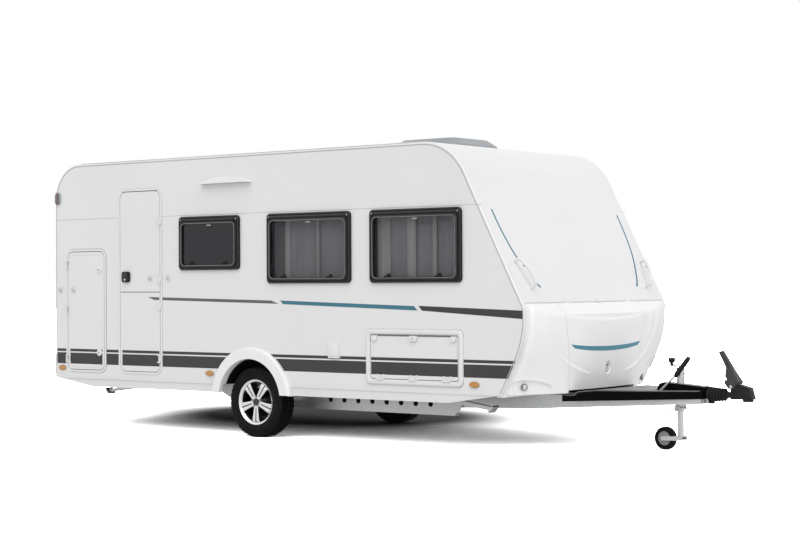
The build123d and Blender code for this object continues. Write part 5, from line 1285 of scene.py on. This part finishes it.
def spoke(side, turn, lean):
    """One bar of a twin spoke: crowned front, sides dropping to the back."""
    loops = []
    steps = 12
    for k in range(steps + 1):
        t = k / steps
        radius = SPOKE_ENDS[0] + t * (SPOKE_ENDS[1] - SPOKE_ENDS[0])
        half = 0.0100 + 0.0095 * t ** 1.3
        middle = turn + lean * (half + 0.0034) / radius
        dish = 0.0765 + 0.004 * math.sin(t * math.pi / 2) - 0.006 * max(0, t - 0.9) / 0.1
        loops.append([wheel_point(side, dish + depth, radius, middle + across * half / radius)
                      for across, depth in SPOKE_SECTION])
    return rings(loops)


def wheel_pieces(side_name, side):
    """Rim, spokes, hub, bolts, drum and valve of one wheel."""
    body = f"road_wheel_{side_name}"
    centre = Vector((WHEEL_X, side * WHEEL_Y, WHEEL_Z))
    axis = (0, side, 0)
    turned(f"rim_barrel_{side_name}", BARREL, centre, axis, 96, "alloy_dark", body, "alloy")
    lip = turned(f"rim_lip_{side_name}", LIP, centre, axis, 128, "alloy", body, "alloy")
    parts = [spoke(side, math.radians(270 + 72 * n), lean) for n in range(5) for lean in (-1, 1)]
    spokes = piece(f"wheel_spokes_{side_name}", *merged(parts), "alloy", body, angle=30, slot="alloy")
    second_finish(spokes.data, "alloy_dark", lambda polygon: polygon.normal.y * side < 0.6)
    turned(f"wheel_hub_{side_name}", HUB, centre, axis, 72, "alloy", body, "alloy")
    turned(f"wheel_cap_{side_name}", CAP, centre, axis, 56, "charcoal", body)
    places = [wheel_point(side, 0.0, 0.0480, math.radians(90 + 72 * n)) for n in range(5)]
    seats = [lathe(BOLT_SEAT, place, axis, 24) for place in places]
    bolts = [lathe(BOLT, place, axis, 6) for place in places]
    piece(f"bolt_seats_{side_name}", *merged(seats), "alloy_dark", body)
    piece(f"wheel_bolts_{side_name}", *merged(bolts), "zinc", body)
    turned(f"brake_drum_{side_name}", DRUM, centre, axis, 64, "alloy_dark", body)
    turn = math.radians(198)
    valve = tube_along([wheel_point(side, 0.060, 0.160, turn), wheel_point(side, 0.085, 0.152, turn)], 0.004,
                       10)
    piece(f"tyre_valve_{side_name}", *valve, "seal", body)
    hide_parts(f"wheel_{side_name}")


# ---- roof and rear -------------------------------------------------------------------------------
# Domes: name, node, body and the ribs' shares of its length.
DOMES = (("hatch", "roof_hatch_dome", "hatch_dome", (0.28, 0.50, 0.72)),
         ("vent", "roof_vent_dome", "vent_dome", (0.5,)))
STRIP_STATIONS = (0.36, 1.2, 2.4, 3.6, 4.16)
STRIP_INSET = 0.016


def roof_details():
    """The domes' ribs and the strips along the roof's edges."""
    for label, node, body, shares in DOMES:
        low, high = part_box(node)
        y0, y1 = low.y + 0.10, high.y - 0.10
        ribs = []
        for share in shares:
            x = low.x + (high.x - 0.018 - low.x) * share
            section = ((x - 0.010, -0.001), (x - 0.005, 0.0025), (x + 0.005, 0.0025), (x + 0.010, -0.001))
            ribs.append(rings([[(a, y, high.z + rise) for a, rise in section] for y in (y0, y1)]))
        piece(f"{label}_ribs", *merged(ribs), "dome", body)
    # cover strips along the roof's edges
    section = ((-0.013, -0.0005), (-0.009, 0.004), (0.009, 0.004), (0.013, -0.0005))
    for side_name, side in SIDES.items():
        middle = side * (WALL_Y - STRIP_INSET)
        loops = [[(X(s), middle + across, ROOF_Z + rise) for across, rise in section] for s in STRIP_STATIONS]
        piece(f"roof_strip_{side_name}", *rings(loops), "trim")


def block_on_rear(y0, y1, z0, z1, x0, x1, radius, soft):
    """A rounded block on the rear, from x0 out to x1, with softened outer edges."""
    loops = []
    for inset, x in ((0, x0), (0, x0 + (x1 - x0) * 0.7), (soft, x1)):
        points = round_points((y1 - y0) / 2 - inset, (z1 - z0) / 2 - inset, max(radius - inset, 0.001), 5)
        loops.append([(x, (y0 + y1) / 2 + a, (z0 + z1) / 2 + b) for a, b in points])
    return rings(loops)


# The lenses of each rear lamp: Y, radius and finish.
REAR_LENSES = ((0.900, 0.048, "red"), (0.790, 0.048, "amber"), (0.680, 0.042, "white_lens"))
REAR_LENS_Z = 0.545
BUMPER_OUT = 0.044                              # how far the bumper's face stands behind the rear wall


def rear_details():
    """Lamps, blank plate, seam and painted highlights along the window's edges on the rear."""
    for side_name, side in SIDES.items():
        for k, (y, radius, finish) in enumerate(REAR_LENSES):
            centre = (REAR - BUMPER_OUT - 0.002, side * y, REAR_LENS_Z)
            glass = [(0.0, 0.0), (0.0, radius - 0.004), (0.0035, radius - 0.006), (0.006, radius * 0.6),
                     (0.0068, 0.0)]
            bezel = [(-0.004, radius - 0.004), (-0.004, radius + 0.003), (0.003, radius + 0.003),
                     (0.005, radius), (0.004, radius - 0.004)]
            turned(f"rear_lens_{side_name}_{k}", glass, centre, (-1, 0, 0), 48, finish)
            turned(f"rear_bezel_{side_name}_{k}", bezel, centre, (-1, 0, 0), 48, "chrome")
    back = REAR - BUMPER_OUT
    piece("number_plate",
          *block_on_rear(-0.26, 0.26, 0.505, 0.615, back + 0.001, back - 0.003, 0.006, 0.0008), "front")
    border = [block_on_rear(-0.262, 0.262, z0, z1, back + 0.001, back - 0.005, 0.001, 0.0005)
              for z0, z1 in ((0.6155, 0.620), (0.500, 0.5045))]
    piece("plate_border", *merged(border), "black")
    piece("third_brake_lens",
          *block_on_rear(-0.130, 0.130, 2.040, 2.060, REAR - 0.012, REAR - 0.017, 0.006, 0.0015), "red")
    seam = block_on_rear(-1.02, 1.02, 1.8885, 1.8915, REAR + 0.001, REAR - 0.0008, 0.0005, 0.0002)
    piece("rear_seam", *seam, "seam_light")
    # painted highlights along the rear window pane's edges: low, high, and one at each end
    bevel = [block_on_rear(*area, REAR - 0.009, REAR - 0.0115, 0.002, 0.0006) for area in (
        (-0.505, 0.505, 1.3600, 1.3650), (-0.505, 0.505, 1.8090, 1.8140),
        (-0.505, -0.500, 1.362, 1.812), (0.500, 0.505, 1.362, 1.812))]
    piece("rear_pane_glint", *merged(bevel), "bevel_glint")


# ---- drawbar and jockey wheel --------------------------------------------------------------------
# The drawbar cover's upper edges: (station, height) along the plate and along the hump.
COVER_EDGE = [(5.200, 0.423), (5.270, 0.425), (5.297, 0.450), (5.421, 0.463), (5.736, 0.461), (6.150, 0.465)]
HUMP_EDGE = [(5.784, 0.506), (5.816, 0.520), (6.150, 0.496)]
HUMP_HALF = 0.053
COVER_REAR, COVER_TIP = (5.184, 0.500), (6.170, 0.084)      # station and half width of its two ends


def cover_half(station):
    """Half the cover's width at a station."""
    (s0, half0), (s1, half1) = COVER_REAR, COVER_TIP
    return half0 - (station - s0) * (half0 - half1) / (s1 - s0)


def cover_highlight_rims():
    """Lighter grey beads along the drawbar cover's upper edges: painted highlights."""
    for side_name, side in SIDES.items():
        plate = tube_along([(X(s), side * (cover_half(s) - 0.004), z) for s, z in COVER_EDGE], 0.0055, 10)
        hump = tube_along([(X(s), side * HUMP_HALF, z) for s, z in HUMP_EDGE], 0.0045, 10)
        piece(f"cover_highlight_rim_{side_name}", *merged([plate, hump]), "cover_edge")


JOCKEY_S = 5.940                                # station of the jockey wheel's tube
ROLLER_S = 5.808                                # station of its roller, which trails
ROLLER_Z = 0.089
# The handbrake's grip: (station, height, radius) along it.
GRIP = [(5.938, 0.572, 0.0120), (5.946, 0.580, 0.0190), (5.962, 0.599, 0.0205), (5.990, 0.633, 0.0200),
        (6.020, 0.669, 0.0200), (6.046, 0.701, 0.0205), (6.058, 0.716, 0.0175), (6.063, 0.722, 0.0095)]
BRAKE_Y = -0.084
COLLARS = ((0.584, [(0, 0.031), (0, 0.036), (0.012, 0.037), (0.016, 0.034), (0.018, 0.031)]),
           (0.620, [(0, 0.0), (0, 0.031), (0.010, 0.033), (0.016, 0.028), (0.020, 0.0)]))
KNOB = [(0, 0.0), (0, 0.0135), (0.006, 0.0145), (0.022, 0.0130), (0.032, 0.0240), (0.040, 0.0275),
        (0.056, 0.0285), (0.063, 0.0250), (0.064, 0.0)]
CLAMP = [(0, 0.0425), (0, 0.048), (0.010, 0.049), (0.020, 0.0425)]
ROLLER_DISC = [(0.010, 0.0), (0.010, 0.056), (0.018, 0.058), (0.0225, 0.054), (0.020, 0.046), (0.024, 0.030),
               (0.0345, 0.018), (0.0355, 0.0)]
PIVOT = [(0.0, 0.0), (0.0, 0.014), (0.006, 0.013), (0.007, 0.0)]
UP = (0, 0, 1)


RAIL_INNER_Y = 0.6464
LID_TRAY = ((4.990, -0.500), (5.215, -0.430), (5.245, 0.0), (5.215, 0.545), (4.990, 0.600))  # (station, Y)
GAITER_LUG = ((6.186, 0.404), (6.226, 0.404), (6.222, 0.368), (6.190, 0.368))       # (station, height)
LEVER_PIVOT = (6.395, 0.0525, 0.505)            # station, Y and height
CRANK_REACH = 0.076


def under_details():
    """Dark plates behind open places, the ones behind the rails' holes painting the shade seen through them,
    and the arch trims' feet.
    """
    for side_name, side in SIDES.items():
        # behind the holes of the chassis rails, a dark plate that paints the shade seen through them
        plate = [(X(s), side * RAIL_INNER_Y, z) for s, z in band_piece(0.290, 0.354, 2.930, 4.080)]
        piece(f"rail_hole_shade_{side_name}", *prism(plate, (0, -side * 0.002, 0)), "well")
        # from the arch trim's front end to the skirt
        foot = block_on_wall(2.850, 2.902, 0.362, 0.442, 0.008, WALL_Y - 0.030, WALL_Y + 0.003, side)
        piece(f"arch_foot_{side_name}", *foot, "trim")
    # the cover's dark tray under the locker's lid
    piece("locker_tray", *prism([(X(s), y, 0.441) for s, y in LID_TRAY], (0, 0, 0.006)), "well")


def front_gear():
    """Grips, knobs, clamps and discs on the drawbar."""
    grip = tube_along([(X(s), BRAKE_Y, z) for s, z, _ in GRIP], [radius for _, _, radius in GRIP], 16)
    piece("handbrake_grip", *grip, "black", "handbrake")
    # jockey wheel: head collars, crank knob, clamp with its T-handle, and the roller's grey discs
    x = X(JOCKEY_S)
    collars = [lathe(profile, (x, 0, z), UP, 40) for z, profile in COLLARS]
    piece("jockey_collar", *merged(collars), "zinc")
    turned("crank_knob", KNOB, (x - CRANK_REACH, 0, 0.646), UP, 32, "black")
    lug = [(x - 0.020, -0.046, 0.304), (x + 0.020, -0.046, 0.304), (x + 0.020, -0.046, 0.346),
           (x - 0.020, -0.046, 0.346)]
    piece("jockey_clamp", *merged([lathe(CLAMP, (x, 0, 0.318), UP, 40), prism(lug, (0, -0.016, 0))]), "galv")
    screw = [tube_along([(x, -0.060, 0.325), (x, -0.112, 0.325)], 0.0055),
             tube_along([(x - 0.038, -0.106, 0.308), (x + 0.038, -0.106, 0.342)], 0.0060)]
    piece("clamp_screw", *merged(screw), "zinc")
    for side_name, side in SIDES.items():
        axis = (0, side, 0)
        centre = (X(ROLLER_S), 0, ROLLER_Z)
        turned(f"roller_disc_{side_name}", ROLLER_DISC, centre, axis, 56, "roller_grey", "jockey_roller")
        # the coupling lever's pivots
        s, y, z = LEVER_PIVOT
        turned(f"lever_pivot_{side_name}", PIVOT, (X(s), side * y, z), axis, 6, "zinc")
    # lug under the gaiter's rear end
    piece("gaiter_lug", *prism([(X(s), -0.020, z) for s, z in GAITER_LUG], (0, 0.040, 0)), "seal")


lower_bands()
middle_stripes()
wall_lines()
opening_lines()
door_details()
window_details()
curtains()
front_details()
lamp_details()
for wheel_name, wheel_side in SIDES.items():
    tyre_piece(wheel_name, wheel_side)
    wheel_pieces(wheel_name, wheel_side)
roof_details()
rear_details()
cover_highlight_rims()
under_details()
front_gear()


# ---- stage, lights and camera --------------------------------------------------------------------
# Place in metres, turns in radians, and the focal length in pixels of the frame's width.
CAMERA = {"station": 12.6479, "y": -12.0869, "z": 1.3080, "yaw": 0.6626059, "pitch": 0.0080926,
          "roll": -0.0055139, "focal_px": 1779.918}
FRAME_WIDTH = 800
SENSOR = 36.0                                   # the camera's sensor width, in millimetres
FLOOR_HALF = 60.0
FLOOR_PALE = 0.90                               # how pale the floor is to everything but the camera
# How pale it is to the camera, under the body and away from it; the low value paints a shadow under the body.
FLOOR_SEEN = (0.13, 7.0)
SHADE_CENTRE = (1.35, 1.3)                      # station and Y of the middle of the shade under the body
SHADE_REACH = (2.85, 2.1)                       # how far it reaches along X and Y
SHADE_EDGE = (0.46, 1.10)                       # shares of that reach between which it fades out
WORLD_LIGHT = (0.50, 1.0)                       # the world's strength: as a light, and as it is seen
# Broad, soft suns: the direction they come from, strength and spread in degrees.
SUNS = {"key_sun": ((0.35, -0.75, 1.0), 1.3, 60), "front_sun": ((1.0, -0.15, 0.35), 0.65, 50)}


def make_camera():
    """The camera, from a position, a heading from +Y towards -X, a pitch and a roll."""
    yaw, pitch = CAMERA["yaw"], CAMERA["pitch"]
    forward = Vector((-math.sin(yaw) * math.cos(pitch), math.cos(yaw) * math.cos(pitch), math.sin(pitch)))
    right = Vector((math.cos(yaw), math.sin(yaw), 0))
    up = right.cross(forward)
    roll = CAMERA["roll"]
    rolled_right = right * math.cos(roll) + up * math.sin(roll)
    rolled_up = up * math.cos(roll) - right * math.sin(roll)
    data = bpy.data.cameras.new("camera")
    data.sensor_width = SENSOR
    data.lens = CAMERA["focal_px"] * SENSOR / FRAME_WIDTH
    data.clip_end = 200
    camera = bpy.data.objects.new("camera", data)
    bpy.context.scene.collection.objects.link(camera)
    matrix = Matrix((rolled_right, rolled_up, -forward)).transposed().to_4x4()
    matrix.translation = Vector((X(CAMERA["station"]), CAMERA["y"], CAMERA["z"]))
    camera.matrix_world = matrix
    bpy.context.scene.camera = camera


def white_floor():
    """A pale matt floor that looks white to the camera, keeps the object's shadow and, to the camera only,
    carries a painted shadow under the body.
    """
    m = Maker("stage_white")

    def math_node(operation, *values):
        """A maths node; each value is a number or another node's output."""
        made = m.node("ShaderNodeMath", operation=operation)
        for k, value in enumerate(values):
            if isinstance(value, float):
                made.inputs[k].default_value = value
            else:
                m.link(value, made.inputs[k])
        return made.outputs[0]

    spread = m.ramp(m.noise(0.8, 2.0), [(0.3, grey(0.99)), (0.7, grey(1.0))])
    place = m.node("ShaderNodeSeparateXYZ")
    m.link(m.place(), place.inputs["Vector"])
    squares = []
    # the painted shadow: darker to the camera near the middle under the body
    for key, middle, reach in zip("XY", (X(SHADE_CENTRE[0]), SHADE_CENTRE[1]), SHADE_REACH):
        share = math_node("DIVIDE", math_node("SUBTRACT", place.outputs[key], middle), reach)
        squares.append(math_node("MULTIPLY", share, share))
    away = m.node("ShaderNodeMapRange", interpolation_type="SMOOTHSTEP")
    for keys, values in ((("From Min", "From Max"), SHADE_EDGE), (("To Min", "To Max"), FLOOR_SEEN)):
        for key, value in zip(keys, values):
            away.inputs[key].default_value = value
    m.link(math_node("SQRT", math_node("ADD", *squares)), away.inputs["Value"])
    gain = m.node("ShaderNodeMapRange")
    gain.inputs["To Min"].default_value = FLOOR_PALE
    m.link(away.outputs["Result"], gain.inputs["To Max"])
    m.link(m.node("ShaderNodeLightPath").outputs["Is Camera Ray"], gain.inputs["Value"])
    tint = m.node("ShaderNodeVectorMath", operation="SCALE")
    m.link(spread, tint.inputs[0])
    m.link(gain.outputs["Result"], tint.inputs["Scale"])
    matt = m.node("ShaderNodeBsdfDiffuse")
    m.link(tint.outputs["Vector"], matt.inputs["Color"])
    m.link(matt.outputs["BSDF"], m.tree.nodes["Material Output"].inputs["Surface"])
    return m.material


def make_stage():
    """The floor."""
    mesh = bpy.data.meshes.new("floor")
    mesh.from_pydata([(x * FLOOR_HALF, y * FLOOR_HALF, 0) for x, y in ((-1, -1), (1, -1), (1, 1), (-1, 1))],
                     [], [(0, 1, 2, 3)])
    floor = bpy.data.objects.new("stage_floor", mesh)
    mesh.materials.append(white_floor())
    bpy.context.scene.collection.objects.link(floor)


def make_lights():
    """A white world that shows behind, in and through things at full strength, and two suns."""
    world = bpy.data.worlds.new("studio")
    bpy.context.scene.world = world
    world.use_nodes = True
    tree = world.node_tree
    path = tree.nodes.new("ShaderNodeLightPath")
    seen = path.outputs["Is Camera Ray"]
    for ray in ("Is Transmission Ray", "Is Glossy Ray"):
        either = tree.nodes.new("ShaderNodeMath")
        either.operation = "MAXIMUM"
        tree.links.new(seen, either.inputs[0])
        tree.links.new(path.outputs[ray], either.inputs[1])
        seen = either.outputs[0]
    strength = tree.nodes.new("ShaderNodeMapRange")
    strength.inputs["To Min"].default_value, strength.inputs["To Max"].default_value = WORLD_LIGHT
    background = tree.nodes["Background"]
    background.inputs["Color"].default_value = (1, 1, 1, 1)
    tree.links.new(seen, strength.inputs["Value"])
    tree.links.new(strength.outputs["Result"], background.inputs["Strength"])
    for name, (towards, strength_out, spread) in SUNS.items():
        data = bpy.data.lights.new(name, "SUN")
        data.energy = strength_out
        data.angle = math.radians(spread)
        sun = bpy.data.objects.new(name, data)
        sun.rotation_euler = Vector(towards).to_track_quat("Z", "Y").to_euler()
        bpy.context.scene.collection.objects.link(sun)


make_camera()
make_stage()
make_lights()
bpy.context.scene.view_settings.view_transform = "Standard"
